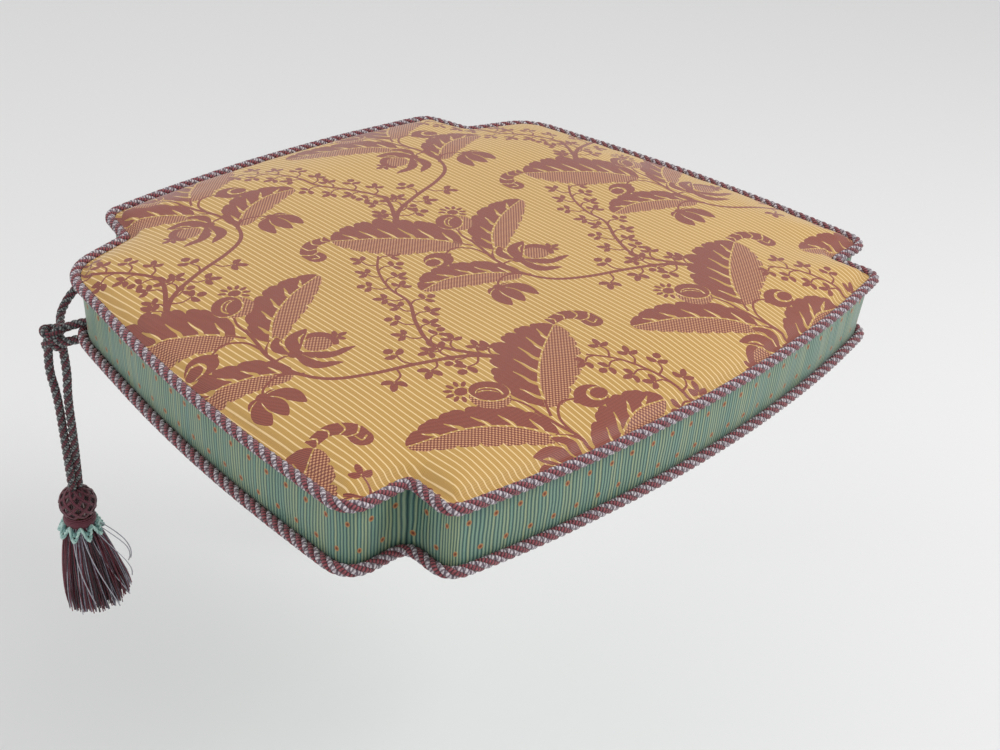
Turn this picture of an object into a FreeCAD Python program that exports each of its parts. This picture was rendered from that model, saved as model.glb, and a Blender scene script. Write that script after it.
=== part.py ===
"""Boxed chair seat pad, with notched corners, rope welts and two tasselled ties.

Frame: the middle of the underside is the origin, +Z is up, the front edge faces -Y
and +X is on the right of someone who looks at the front. Millimetres throughout.
"""
import FreeCAD, Part

import math
import os

from FreeCAD import Vector

# ---- driving dimensions ------------------------------------------------------------------
WELT_ROPE = 7.0           # diameter of the twisted rope round both seams
WELT_LOW = 4.0            # height of the lower rope's middle
WELT_HIGH = 48.0          # height of the upper rope's middle
HALF_WIDTH = 250.0        # middle of the rope, at the widest place
BACK_Y = 221.0            # middle of the rope at the middle of the back edge
BACK_BOW = 985.0          # radius of the bowed back edge
FRONT_Y = 221.0           # the same at the front, measured towards -Y
FRONT_BOW = 1077.5        # radius of the bowed front edge
FRONT_NOTCH = (207.0, 166.0)    # inner corner of a front notch, from the middle
REAR_NOTCH = (165.0, 169.0)     # inner corner of a rear notch
CROWN = 12.5              # how far the middle of the top stands above the upper seam
CLOTH = 1.2               # the cover cloths with their interlining
LIP = 0.8                 # woven lip that carries each rope in its seam
LIP_DEPTH = 6.0
LIP_PLAY = 0.03           # the lip stops this short of the round of the rope
TICKING = 0.8             # cloth of the inner case
WADDING = 7.0             # fibre wrap on the foam
PLAY = 0.1                # between neighbouring layers
SEAM = WELT_ROPE / 2 + PLAY     # inset of the cover cloths from the rope's middle

ZIP_HEIGHT = 26.0         # middle of the zip in the back boxing
ZIP_HALF = 118.0          # half the opening, measured along X
ZIP_GAP = 5.6             # between the two edges of cloth beside the coils
TAPE_WIDTH = 12.0
TAPE = 0.6
COIL = (2.2, 2.2)         # height and depth of one coil
COIL_CHANNEL = 1.1        # the slider's web runs here
SLIDER_TURN = 6.0         # where the closed slider stands, degrees from the middle

TIE_ROPE = 5.5            # diameter of the tie and of the tassel's two cords
KNOT = (-233.0, 157.0, 0.0)
KNOT_RADIUS = 8.0
KNOT_GAP = 0.35           # between the knot and the cords that swing under it
TASSEL_TOP = -125.6       # height of the tassel's head

# A tie runs from the side wall through the knot, round the chair's post and back to the
# rear lobe; the points are for the left side.
TIE_ROUTE = [
    (-212.9, 142.9, 11.4),
    (-224.0, 151.0, 9.0),
    (-233.0, 159.0, 2.0),
    (-226.0, 173.0, -9.0),
    (-211.0, 188.0, -17.0),
    (-203.0, 206.0, -16.0),
    (-190.0, 214.0, -8.0),
    (-178.0, 211.0, 2.0),
    (-164.5, 200.0, 10.8),
    (-154.9, 187.0, 11.3),
]
# Where its ends are sewn in: a point on the boxing, and the way the boxing faces there,
# in degrees from +Y towards -X.
TIE_ANCHORS = [((-214.5, 144.3), 49.5), ((-156.8, 188.0), 76.5)]
TAB = (12.0, 1.6, 12.0)   # width, thickness, height of each sewn-in tab
TAB_LOW = 5.0
TAB_DEPTH = 3.6           # from the boxing's face to the far side of the tab
# The tassel's two cords leave the knot side by side and turn a little round each other.
OUTER_CORD_ROUTE = [
    (-236.0, 160.3, -2.0),
    (-238.4, 163.0, -22.0),
    (-236.3, 160.8, -50.0),
    (-235.3, 159.2, -78.0),
    (-235.7, 157.4, -104.0),
    (-235.9, 156.6, TASSEL_TOP),
]
INNER_CORD_ROUTE = [
    (-230.4, 154.1, -2.0),
    (-229.4, 152.7, -24.0),
    (-230.6, 154.6, -52.0),
    (-230.4, 155.2, -78.0),
    (-229.9, 156.9, -104.0),
    (-230.1, 157.4, TASSEL_TOP),
]


# ---- outline of the pad ------------------------------------------------------------------
def bow(half_length, middle_y, radius):
    """An edge that is one shallow arc: half its turn, and the corner its end tangents make."""
    turn = math.asin(half_length / radius)
    return turn, middle_y - radius + radius / math.cos(turn)


BACK_TURN, BACK_CORNER = bow(140.0, BACK_Y, BACK_BOW)
FRONT_TURN, FRONT_CORNER = bow(185.0, FRONT_Y, FRONT_BOW)
BACK_CENTRE_Y = BACK_Y - BACK_BOW

# Corners of the left half, from the back to the front, each with the radius of its arc.
# A negative radius marks an inward corner.
REAR_LOBE_X = 155.5
FRONT_LOBE_X = 210.0
LEAST_RADIUS = 1.5        # of a corner that has been moved inwards past its own radius
LEFT_CORNERS = [
    (-REAR_LOBE_X, BACK_CORNER - REAR_LOBE_X * math.tan(BACK_TURN), 15.0),
    (-REAR_NOTCH[0], REAR_NOTCH[1], -4.5),
    (-222.3, 151.0, 38.0),
    (-HALF_WIDTH, -20.0, 1240.0),
    (-HALF_WIDTH, -FRONT_NOTCH[1], 14.0),
    (-FRONT_NOTCH[0], -FRONT_NOTCH[1], -4.5),
    (-FRONT_LOBE_X, -FRONT_CORNER + FRONT_LOBE_X * math.tan(FRONT_TURN), 9.5),
]


def all_corners():
    """The closed outline, anticlockwise from the middle of the back."""
    right = [(-x, y, r) for x, y, r in reversed(LEFT_CORNERS)]
    back = [(0.0, BACK_CORNER, BACK_BOW)]
    front = [(0.0, -FRONT_CORNER, FRONT_BOW)]
    return back + LEFT_CORNERS + front + right


def unit(dx, dy):
    length = math.hypot(dx, dy)
    return dx / length, dy / length


def inset_corners(inset, scale=1.0):
    """Corners of the outline moved inwards by inset, then shrunk towards the middle."""
    corners = all_corners()
    count = len(corners)
    moved = []
    for i, (x, y, r) in enumerate(corners):
        before = corners[i - 1]
        after = corners[(i + 1) % count]
        ax, ay = unit(x - before[0], y - before[1])
        bx, by = unit(after[0] - x, after[1] - y)
        bend = 1 + ax * bx + ay * by
        shift_x = -(ay + by) * inset / bend
        shift_y = (ax + bx) * inset / bend
        if r < 0:
            radius = -r + inset
        else:
            radius = max(r - inset, LEAST_RADIUS)
        moved.append(((x + shift_x) * scale, (y + shift_y) * scale, radius * scale))
    return moved


def outline(inset, z, scale=1.0):
    """Closed wire of straight sides and tangent arcs."""
    corners = inset_corners(inset, scale)
    count = len(corners)
    bends = []
    for i, (x, y, r) in enumerate(corners):
        before = corners[i - 1]
        after = corners[(i + 1) % count]
        ax, ay = unit(x - before[0], y - before[1])
        bx, by = unit(after[0] - x, after[1] - y)
        half_turn = math.acos(max(-1.0, min(1.0, ax * bx + ay * by))) / 2
        cut = r * math.tan(half_turn)
        start = Vector(x - ax * cut, y - ay * cut, z)
        end = Vector(x + bx * cut, y + by * cut, z)
        inward_x, inward_y = unit(bx - ax, by - ay)
        sag = r / math.cos(half_turn) - r
        middle = Vector(x + inward_x * sag, y + inward_y * sag, z)
        bends.append((start, middle, end))
    edges = []
    for i, (start, middle, end) in enumerate(bends):
        following = bends[(i + 1) % count][0]
        edges.append(Part.Arc(start, middle, end).toShape())
        edges.append(Part.LineSegment(end, following).toShape())
    return Part.Wire(edges)


def slab(inset, low, high):
    return Part.Face(outline(inset, low)).extrude(Vector(0, 0, high - low))


def wall(inset, thickness, low, high):
    """Upright band that follows the outline."""
    return slab(inset, low, high).cut(slab(inset + thickness, low - 1, high + 1))


def stack(levels):
    """Solid through outlines given as (inset, z, scale)."""
    wires = [outline(inset, z, scale) for inset, z, scale in levels]
    return Part.makeLoft(wires, True, True)


def box(x0, x1, y0, y1, z0, z1):
    return Part.makeBox(x1 - x0, y1 - y0, z1 - z0, Vector(x0, y0, z0))


def mirrored(shape):
    """The same piece on the other side of the pad."""
    return shape.mirror(Vector(0, 0, 0), Vector(1, 0, 0))


# ---- cover -------------------------------------------------------------------------------
REACH = 400.0             # larger than the pad, for cutting boxes
TOP_EDGE = WELT_HIGH + LIP / 2
LOW_EDGE = WELT_LOW - LIP / 2


def crown_levels(depth):
    """Outlines of the domed top, sunk under its outer face by depth."""
    return [
        (SEAM + 4.4 + depth, TOP_EDGE + 3.6 - depth, 1.0),
        (SEAM + 9.0 + depth, TOP_EDGE + 5.6 - depth, 1.0),
        (SEAM + 9.0 + depth, TOP_EDGE + 8.6 - depth, 0.9),
        (SEAM + 9.0 + depth, TOP_EDGE + CROWN - 1.3 - depth, 0.72),
        (SEAM + 9.0 + depth, TOP_EDGE + CROWN - depth, 0.4),
    ]


def top_panel():
    outer = stack([(SEAM, TOP_EDGE, 1.0)] + crown_levels(0.0))
    inner = stack([(SEAM + CLOTH * 1.4, TOP_EDGE - PLAY, 1.0)] + crown_levels(CLOTH))
    return outer.cut(inner)


def bottom_panel():
    outer = stack([(SEAM + 6.0, 0.0, 1.0), (SEAM, LOW_EDGE, 1.0)])
    inner = stack([(SEAM + 7.2, CLOTH, 1.0), (SEAM + 1.8, LOW_EDGE + PLAY, 1.0)])
    return outer.cut(inner)


def boxing():
    return wall(SEAM, CLOTH, WELT_LOW + LIP / 2, WELT_HIGH - LIP / 2)


def boxing_front():
    x, y = FRONT_NOTCH
    middle = box(-x, x, -REACH, -y, -REACH, REACH)
    return boxing().common(middle)


def boxing_left():
    """From the front notch's inner corner to the rear notch's."""
    front_x, front_y = FRONT_NOTCH
    rear_x, rear_y = REAR_NOTCH
    side = box(-REACH, -rear_x + SEAM + CLOTH, -front_y, rear_y, -REACH, REACH)
    notch = box(-REACH, -front_x, -REACH, -front_y, -REACH, REACH)
    return boxing().common(side.fuse(notch))


def boxing_back_whole():
    rear_x, rear_y = REAR_NOTCH
    return boxing().common(box(-rear_x - 5, rear_x + 5, rear_y, REACH, -REACH, REACH))


def boxing_back_left():
    """Short full-height piece between the rear notch and the end of the zip."""
    return boxing_back_whole().common(box(-REACH, -ZIP_HALF, 0, REACH, -REACH, REACH))


def boxing_back_strip(low, high):
    return boxing_back_whole().common(box(-ZIP_HALF, ZIP_HALF, 0, REACH, low, high))


def welt_rope(z):
    path = outline(0.0, z)
    start = path.Edges[1].valueAt(path.Edges[1].FirstParameter)
    after = path.Edges[1].valueAt(path.Edges[1].LastParameter)
    path = Part.Wire(path.Edges[1:] + path.Edges[:1])
    circle = Part.Circle(start, after - start, WELT_ROPE / 2).toShape()
    pipe = path.makePipeShell([Part.Wire([circle])], True, False)
    if not isinstance(pipe, Part.Solid) and pipe.Solids:
        pipe = pipe.Solids[0]
    return pipe


def welt_lip(z):
    return wall(WELT_ROPE / 2 + LIP_PLAY, LIP_DEPTH, z - LIP / 2, z + LIP / 2)


# ---- filling -----------------------------------------------------------------------------
CASE_INSET = 8.0          # side wall of the ticking case
CASE_FLOOR = CLOTH + PLAY


def case_levels(skin):
    """Outlines of the ticking case, sunk under its outer face by skin."""
    past_lip = WELT_ROPE / 2 + LIP_DEPTH + PLAY * 2
    levels = [
        (past_lip + 2.0 + skin, CASE_FLOOR + skin, 1.0),
        (past_lip + skin, WELT_LOW + LIP / 2, 1.0),
        (CASE_INSET + skin, WELT_LOW + LIP / 2 + 2, 1.0),
        (CASE_INSET + skin, WELT_HIGH - LIP / 2 - 2, 1.0),
        (past_lip + skin, WELT_HIGH - LIP / 2, 1.0),
    ]
    return levels + crown_levels(CLOTH + PLAY + skin)[1:]


def ticking_case():
    return stack(case_levels(0.0)).cut(stack(case_levels(TICKING)))


FOAM_INSET = CASE_INSET + TICKING + WADDING
FOAM_LOW = CASE_FLOOR + TICKING + WADDING * 0.6
FOAM_HIGH = WELT_HIGH - WADDING * 0.4


def foam_core():
    return slab(FOAM_INSET, FOAM_LOW, FOAM_HIGH)


def wadding(low, high):
    """Half of the fibre wrap, split at mid height."""
    wrap = stack(case_levels(TICKING + PLAY))
    hollow = slab(FOAM_INSET - PLAY, FOAM_LOW - PLAY, FOAM_HIGH + PLAY)
    band = box(-REACH, REACH, -REACH, REACH, low, high)
    return wrap.cut(hollow).common(band)


# ---- zip in the back boxing --------------------------------------------------------------
CHAIN_INSET = SEAM + CLOTH + PLAY + TAPE / 2    # middle of tapes and coils


def back_arc_band(inset, depth, low, high, half):
    """Piece of upright band on the back arc, half wide each way along X."""
    outer = Part.makeCylinder(BACK_BOW - inset, high - low, Vector(0, BACK_CENTRE_Y, low))
    inner = Part.makeCylinder(BACK_BOW - inset - depth, high - low + 2,
                              Vector(0, BACK_CENTRE_Y, low - 1))
    return outer.cut(inner).common(box(-half, half, 0, REACH, low, high))


def zip_tape(side):
    near = side * COIL_CHANNEL
    far = side * (COIL_CHANNEL + TAPE_WIDTH)
    low, high = sorted((ZIP_HEIGHT + near + side * COIL[0] / 2, ZIP_HEIGHT + far))
    return back_arc_band(CHAIN_INSET - TAPE / 2, TAPE, low, high, ZIP_HALF - 2)


def zip_coil(side):
    near = ZIP_HEIGHT + side * COIL_CHANNEL / 2
    low, high = sorted((near, near + side * COIL[0]))
    depth = COIL[1]
    bar = back_arc_band(CHAIN_INSET - depth / 2, depth, low, high, ZIP_HALF - 6)
    return bar.cut(zip_tape(side))


def at_back(shape, turn):
    """Carry a piece drawn at the middle of the back along the arc, turn in degrees."""
    moved = shape.copy()
    moved.rotate(Vector(0, BACK_CENTRE_Y, 0), Vector(0, 0, 1), turn)
    return moved


SLIDER = (9.0, 8.4)       # length along the zip, height
PLATE = 1.0
SLIDER_PLAY = 0.35
PULL_EYE = 1.35
PULL_HOLE = 0.85
PULL_LENGTH = 15.0
PULL_WIDTH = 3.6
PLATE_CORNER = 1.6


def back_y(inset):
    return BACK_Y - inset


def rounded_plate(length, height, y0, y1, z):
    plate = box(-length / 2, length / 2, y0, y1, z - height / 2, z + height / 2)
    upright = [e for e in plate.Edges if abs(e.Vertexes[0].Y - e.Vertexes[-1].Y) > 0.1]
    return plate.makeFillet(PLATE_CORNER, upright)


OUTER_FACE = back_y(SEAM - SLIDER_PLAY)
PIN_Y = OUTER_FACE + PLATE + PULL_EYE + SLIDER_PLAY
BEHIND_COIL = back_y(CHAIN_INSET + COIL[1] / 2 + SLIDER_PLAY)


def zip_slider():
    length, height = SLIDER
    outer = rounded_plate(length, height, OUTER_FACE, OUTER_FACE + PLATE, ZIP_HEIGHT)
    inner = rounded_plate(length, height, BEHIND_COIL - PLATE, BEHIND_COIL, ZIP_HEIGHT)
    web_half = COIL_CHANNEL / 2 - 0.3
    web = box(-1.5, 1.5, BEHIND_COIL - 0.2, OUTER_FACE + 0.2,
              ZIP_HEIGHT - web_half, ZIP_HEIGHT + web_half)
    body = outer.fuse(inner).fuse(web)
    ear_gap = PULL_WIDTH / 2 + 0.3
    for side in (-1, 1):
        low, high = sorted((side * ear_gap, side * (ear_gap + 1.0)))
        body = body.fuse(box(low, high, OUTER_FACE + 0.2, PIN_Y + 0.9,
                             ZIP_HEIGHT - 1.2, ZIP_HEIGHT + 1.2))
    pin = Part.makeCylinder(0.5, 2 * ear_gap + 1, Vector(-ear_gap - 0.5, PIN_Y, ZIP_HEIGHT),
                            Vector(1, 0, 0))
    return at_back(body.fuse(pin).removeSplitter(), -SLIDER_TURN)


def zip_pull():
    width = PULL_WIDTH
    start = Vector(-width / 2, PIN_Y, ZIP_HEIGHT)
    eye = Part.makeCylinder(PULL_EYE, width, start, Vector(1, 0, 0))
    tab = box(-width / 2, width / 2, PIN_Y - 0.5, PIN_Y + 0.5,
              ZIP_HEIGHT - PULL_LENGTH, ZIP_HEIGHT)
    foot = Part.makeCylinder(width / 2 + 0.6, 1.0,
                             Vector(0, PIN_Y - 0.5, ZIP_HEIGHT - PULL_LENGTH + 1),
                             Vector(0, 1, 0))
    hole = Part.makeCylinder(PULL_HOLE, width + 2, start - Vector(1, 0, 0), Vector(1, 0, 0))
    return at_back(eye.fuse(tab).fuse(foot).cut(hole), -SLIDER_TURN)


def zip_stops():
    """A crimped metal stop across the chain, just past each end of the coils."""
    piece = rounded_plate(4.0, 5.0, back_y(CHAIN_INSET + 1.1), back_y(CHAIN_INSET - 1.1),
                          ZIP_HEIGHT)
    turn = math.degrees((ZIP_HALF - 3.4) / (BACK_BOW - CHAIN_INSET))
    stops = [at_back(piece, side * turn) for side in (-1, 1)]
    return Part.makeCompound([stop.cut(both_tapes()) for stop in stops])


def both_tapes():
    return zip_tape(1).fuse(zip_tape(-1))


# ---- ties and tassels --------------------------------------------------------------------
def cord(route, diameter, name):
    """Round tube along straight runs joined by tangent arcs as large as the runs allow."""
    points = [Vector(*point) for point in route]
    edges = []
    here = points[0]
    radii = []
    for before, corner, after in zip(points, points[1:], points[2:]):
        come = corner - before
        go = after - corner
        half_turn = come.getAngle(go) / 2
        cut = 0.45 * min(come.Length, go.Length)
        radius = cut / math.tan(half_turn)
        radii.append(round(radius, 1))
        come.normalize()
        go.normalize()
        start = corner - come * cut
        end = corner + go * cut
        inward = go - come
        inward.normalize()
        middle = corner + inward * (radius / math.cos(half_turn) - radius)
        edges.append(Part.LineSegment(here, start).toShape())
        edges.append(Part.Arc(start, middle, end).toShape())
        here = end
    edges.append(Part.LineSegment(here, points[-1]).toShape())
    path = Part.Wire(edges)
    circle = Part.Circle(points[0], points[1] - points[0], diameter / 2).toShape()
    tube = path.makePipeShell([Part.Wire([circle])], True, False)
    expected = math.pi * diameter ** 2 / 4 * path.Length
    print(name, "length", round(path.Length, 1), "radii", radii,
          "volume ratio", round(tube.Volume / expected, 4), "valid", tube.isValid())
    return tube


def knot_ball(extra=0.0):
    return Part.makeSphere(KNOT_RADIUS + extra, Vector(*KNOT))


def tie_cord():
    """The tie's two stretches, each trimmed flush on the knot and on the boxing."""
    whole = cord(TIE_ROUTE, TIE_ROPE, "tie")
    return whole.cut(knot_ball()).cut(slab(SEAM, 0.0, WELT_HIGH))


def hanging_cord(route, name):
    return cord(route, TIE_ROPE, name).cut(knot_ball(KNOT_GAP))


def tie_anchors():
    """Two folded tape tabs inside the boxing, which the ends of the tie are sewn to."""
    width, thickness, height = TAB
    flat = box(-width / 2, width / 2, -TAB_DEPTH, thickness - TAB_DEPTH,
               TAB_LOW, TAB_LOW + height)
    tabs = []
    for (x, y), turn in TIE_ANCHORS:
        tab = flat.copy()
        tab.rotate(Vector(0, 0, 0), Vector(0, 0, 1), turn)
        tab.translate(Vector(x, y, 0))
        tabs.append(tab)
    return Part.makeCompound(tabs)


def turned(profile):
    """Solid of revolution about the tassel's own upright axis, from (radius, drop) points."""
    x, y, _ = KNOT
    points = [Vector(x + r, y, TASSEL_TOP - drop) for r, drop in profile]
    face = Part.Face(Part.makePolygon(points + points[:1]))
    return face.revolve(Vector(x, y, 0), Vector(0, 0, 1), 360)


HEAD_RADIUS = 13.5
HEAD_CENTRE = 13.2        # drop of the middle of the head
STEM = 6.0
NECK_DROP = 24.0
SKIRT_DROP = 31.5
TASSEL_LENGTH = 108.0


def ball_points(radius, low_turn, high_turn, steps):
    """Points on a circle about the head's middle, turns measured down from the top."""
    points = []
    for i in range(steps + 1):
        turn = math.radians(low_turn + (high_turn - low_turn) * i / steps)
        points.append((radius * math.sin(turn), HEAD_CENTRE - radius * math.cos(turn)))
    return points


def tassel_mould():
    wood = HEAD_RADIUS - 3.1
    ball = ball_points(wood, 0, 140, 10)
    low = ball[-1][1]
    return turned(ball + [(STEM, low + 0.8), (STEM, SKIRT_DROP + 9), (0, SKIRT_DROP + 9)])


def tassel_head_cover():
    outer = ball_points(HEAD_RADIUS, 20, 128, 9)
    inner = ball_points(HEAD_RADIUS - 3.0, 20, 128, 9)
    return turned(outer + list(reversed(inner)))


def tassel_neck_band():
    top, low = NECK_DROP - 1.6, SKIRT_DROP - PLAY
    middle = (top + low) / 2
    return turned([(8.4, top), (9.6, top + 0.6), (10.8, middle), (9.8, low), (STEM + PLAY, low),
                   (STEM + PLAY, top + 1.2)])


def tassel_skirt():
    return turned([
        (STEM + PLAY, SKIRT_DROP), (10.4, SKIRT_DROP), (13.2, 41.0), (17.0, 60.0),
        (21.5, 84.0), (25.0, TASSEL_LENGTH), (0, TASSEL_LENGTH),
        (0, SKIRT_DROP + 9 + PLAY), (STEM + PLAY, SKIRT_DROP + 9 + PLAY)])


def tassel_ruff():
    """Looped collar that lies over the top of the skirt."""
    return turned([(10.6, SKIRT_DROP), (12.4, SKIRT_DROP - 0.6), (16.0, 42.5), (15.2, 44.2),
                   (14.2, 44.0), (13.4, 41.0)])


# ---- all the pieces ----------------------------------------------------------------------
def pieces():
    """Name and shape of every piece."""
    lower_strip = (WELT_LOW + LIP / 2, ZIP_HEIGHT - ZIP_GAP / 2)
    upper_strip = (ZIP_HEIGHT + ZIP_GAP / 2, WELT_HIGH - LIP / 2)
    yield "top_panel", top_panel()
    yield "bottom_panel", bottom_panel()
    yield "boxing_front", boxing_front()
    yield "boxing_back_upper", boxing_back_strip(*upper_strip)
    yield "boxing_back_lower", boxing_back_strip(*lower_strip)
    for side, shape in (("left", boxing_left()), ("back_left", boxing_back_left())):
        yield "boxing_" + side, shape
        yield "boxing_" + side.replace("left", "right"), mirrored(shape)
    yield "top_welt_rope", welt_rope(WELT_HIGH)
    yield "bottom_welt_rope", welt_rope(WELT_LOW)
    yield "top_welt_lip", welt_lip(WELT_HIGH)
    yield "bottom_welt_lip", welt_lip(WELT_LOW)
    yield "ticking_case", ticking_case()
    middle = (WELT_LOW + WELT_HIGH) / 2
    yield "wadding_upper", wadding(middle, REACH)
    yield "wadding_lower", wadding(-REACH, middle - PLAY)
    yield "foam_core", foam_core()
    yield "zip_tape_upper", zip_tape(1)
    yield "zip_tape_lower", zip_tape(-1)
    yield "zip_coil_upper", zip_coil(1)
    yield "zip_coil_lower", zip_coil(-1)
    yield "zip_stops", zip_stops()
    yield "zip_slider", zip_slider()
    yield "zip_pull", zip_pull()
    for name, shape in one_tie():
        yield name + "_left", shape
        yield name + "_right", mirrored(shape)


def one_tie():
    yield "tie_anchors", tie_anchors()
    yield "tie_cord", tie_cord()
    yield "tie_knot", knot_ball()
    yield "tassel_cord_outer", hanging_cord(OUTER_CORD_ROUTE, "outer cord")
    yield "tassel_cord_inner", hanging_cord(INNER_CORD_ROUTE, "inner cord")
    yield "tassel_mould", tassel_mould()
    yield "tassel_head_cover", tassel_head_cover()
    yield "tassel_neck_band", tassel_neck_band()
    yield "tassel_ruff", tassel_ruff()
    yield "tassel_skirt", tassel_skirt()


os.makedirs("parts", exist_ok=True)
for node, solid in pieces():
    print(node, "solids", len(solid.Solids), "valid", solid.isValid(),
          "volume", round(solid.Volume, 1))
    solid.exportStep("parts/" + node + ".step")
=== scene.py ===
"""Boxed chair seat pad: damask top, striped boxing, rope welts, zip and two tasselled ties.

The sections follow the pad as it is made up: studio, filling, cover, welts, zip, ties and
tassels. Metres throughout; sizes written in millimetres are multiplied by MM.
"""

import math
import random

import bpy
import numpy as np
from mathutils import Matrix, Vector, geometry, kdtree, noise
from mathutils.bvhtree import BVHTree


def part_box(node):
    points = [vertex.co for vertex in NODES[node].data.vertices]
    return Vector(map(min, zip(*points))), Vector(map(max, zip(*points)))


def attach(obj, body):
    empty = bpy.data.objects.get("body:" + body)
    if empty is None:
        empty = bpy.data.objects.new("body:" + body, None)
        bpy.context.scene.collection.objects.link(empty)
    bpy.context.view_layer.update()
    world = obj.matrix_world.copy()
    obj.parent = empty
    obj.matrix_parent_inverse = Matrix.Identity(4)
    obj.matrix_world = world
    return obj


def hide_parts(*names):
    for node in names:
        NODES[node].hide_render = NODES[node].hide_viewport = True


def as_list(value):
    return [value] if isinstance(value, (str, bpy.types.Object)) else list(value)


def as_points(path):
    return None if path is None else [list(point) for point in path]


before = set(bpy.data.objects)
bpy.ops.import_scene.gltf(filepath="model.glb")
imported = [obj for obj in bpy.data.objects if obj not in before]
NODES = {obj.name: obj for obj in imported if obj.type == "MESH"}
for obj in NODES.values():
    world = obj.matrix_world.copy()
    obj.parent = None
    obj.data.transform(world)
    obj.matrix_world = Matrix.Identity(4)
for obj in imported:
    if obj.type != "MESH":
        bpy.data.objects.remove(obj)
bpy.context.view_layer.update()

MM = 0.001


# ---- studio ------------------------------------------------------------------------------
# A pale floor at the height of a chair's feet, two soft windows and a bright room. The camera
# stands in front on the left and looks down on the pad, tilted a little to one side.
class Signal:
    """A node's output, so that what varies over a surface is written as an expression."""

    def __init__(self, tree, socket=None):
        self.tree = tree
        self.socket = socket

    def node(self, kind, settings=None, inputs=None, output=0):
        """A node of this tree, with its settings and the values or links of its sockets."""
        made = self.tree.nodes.new(kind)
        for name, value in (settings or {}).items():
            if name == "stops":
                set_stops(made.color_ramp, value)
            else:
                setattr(made, name, value)
        for name, value in (inputs or {}).items():
            if isinstance(value, Signal):
                self.tree.links.new(value.socket, made.inputs[name])
            else:
                made.inputs[name].default_value = value
        return Signal(self.tree, made.outputs[output] if made.outputs else None)

    def maths(self, operation, *more, clamp=False):
        settings = {"operation": operation, "use_clamp": clamp}
        return self.node("ShaderNodeMath", settings, dict(enumerate((self, *more))))

    def __add__(self, other):
        return self.maths("ADD", other)

    def __sub__(self, other):
        return self.maths("SUBTRACT", other)

    def __rsub__(self, other):
        return self.node("ShaderNodeMath", {"operation": "SUBTRACT"}, {0: other, 1: self})

    def __mul__(self, other):
        return self.maths("MULTIPLY", other)

    def __truediv__(self, other):
        return self.maths("DIVIDE", other)

    __radd__ = __add__
    __rmul__ = __mul__

    def wave(self):
        return self.maths("SINE")

    def above(self, edge, soft):
        """0 below edge and 1 above it, changing over the width soft."""
        return ((self - edge) / soft).maths("ADD", 0.5, clamp=True)

    def blend(self, under, over):
        """Colour under where this is 0 and colour over where it is 1."""
        inputs = {0: self, 6: under, 7: over}
        return self.node("ShaderNodeMix", {"data_type": "RGBA"}, inputs, output=2)

    def place(self):
        """The point of the surface, in the object's metres."""
        return self.node("ShaderNodeTexCoord", output=3)

    def axis(self, which):
        """One number of a vector."""
        return self.node("ShaderNodeSeparateXYZ", None, {0: self}, output=which)

    def texture(self, scale, kind="Noise", **inputs):
        """A procedural texture over this vector."""
        inputs = {"Vector": self, "Scale": scale, **inputs}
        return self.node("ShaderNodeTex" + kind, None, inputs)

    def stored(self, name):
        """A number that the mesh carries under a name."""
        return self.node("ShaderNodeAttribute", {"attribute_name": name}, output=2)


def set_stops(ramp, stops):
    while len(ramp.elements) < len(stops):
        ramp.elements.new(0.5)
    for element, (place, shade) in zip(ramp.elements, stops):
        element.position = place
        element.color = shade


def shade(red, green, blue):
    """A colour from its 0 to 255 screen values."""
    levels = [((v / 255 + 0.055) / 1.055) ** 2.4 for v in (red, green, blue)]
    return (*levels, 1.0)


def new_finish(name):
    """An empty material and the signal that its nodes are made from."""
    material = bpy.data.materials.new(name)
    material.use_nodes = True
    material.node_tree.nodes.clear()
    return material, Signal(material.node_tree)


def cover_with(start, height=None, relief=0.0, **sockets):
    """Ends a material in a Principled shader; height in metres raises its bump."""
    inputs = {name.replace("_", " ").title(): value for name, value in sockets.items()}
    if height is not None:
        inputs["Normal"] = start.node("ShaderNodeBump", None,
                                      {"Strength": relief, "Distance": 1.0, "Height": height})
    shader = start.node("ShaderNodeBsdfPrincipled", None, inputs)
    start.node("ShaderNodeOutputMaterial", None, {"Surface": shader})


def new_object(name, data):
    made = bpy.data.objects.new(name, data)
    bpy.context.scene.collection.objects.link(made)
    return made


def new_piece(name, points, faces, *finishes, edges=()):
    """A smooth-shaded mesh object of its finishes, of faces or of loose edges."""
    mesh = bpy.data.meshes.new(name)
    mesh.from_pydata([tuple(point) for point in points], edges, faces)
    for finish in finishes:
        mesh.materials.append(finish)
    mesh.shade_smooth()
    return new_object(name, mesh)


FLOOR_HEIGHT = -0.45
FLOOR_HALF = 9
floor_paint, start = new_finish("floor_paint")
cover_with(start, base_color=shade(232, 232, 232), roughness=0.9)
floor_corners = [(x * FLOOR_HALF, y * FLOOR_HALF, FLOOR_HEIGHT)
                 for x, y in ((-1, -1), (1, -1), (1, 1), (-1, 1))]
new_piece("floor", floor_corners, [(0, 1, 2, 3)], floor_paint)


def soft_light(name, place, size, power):
    lamp = bpy.data.lights.new(name, "AREA")
    lamp.shape = "DISK"
    lamp.size = size
    lamp.energy = power
    holder = new_object(name, lamp)
    holder.location = place
    holder.rotation_euler = Vector(place).to_track_quat("Z", "Y").to_euler()


soft_light("window", (1.1, -1.5, 1.7), 1.0, 28)
soft_light("second_window", (-1.6, 0.9, 1.3), 1.2, 8)
room = bpy.data.worlds.new("room")
room.use_nodes = True
sky = room.node_tree.nodes["Background"].inputs
sky["Color"].default_value = (1, 1, 1, 1)
sky["Strength"].default_value = 0.74
bpy.context.scene.world = room
bpy.context.scene.view_settings.view_transform = "Standard"

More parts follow.
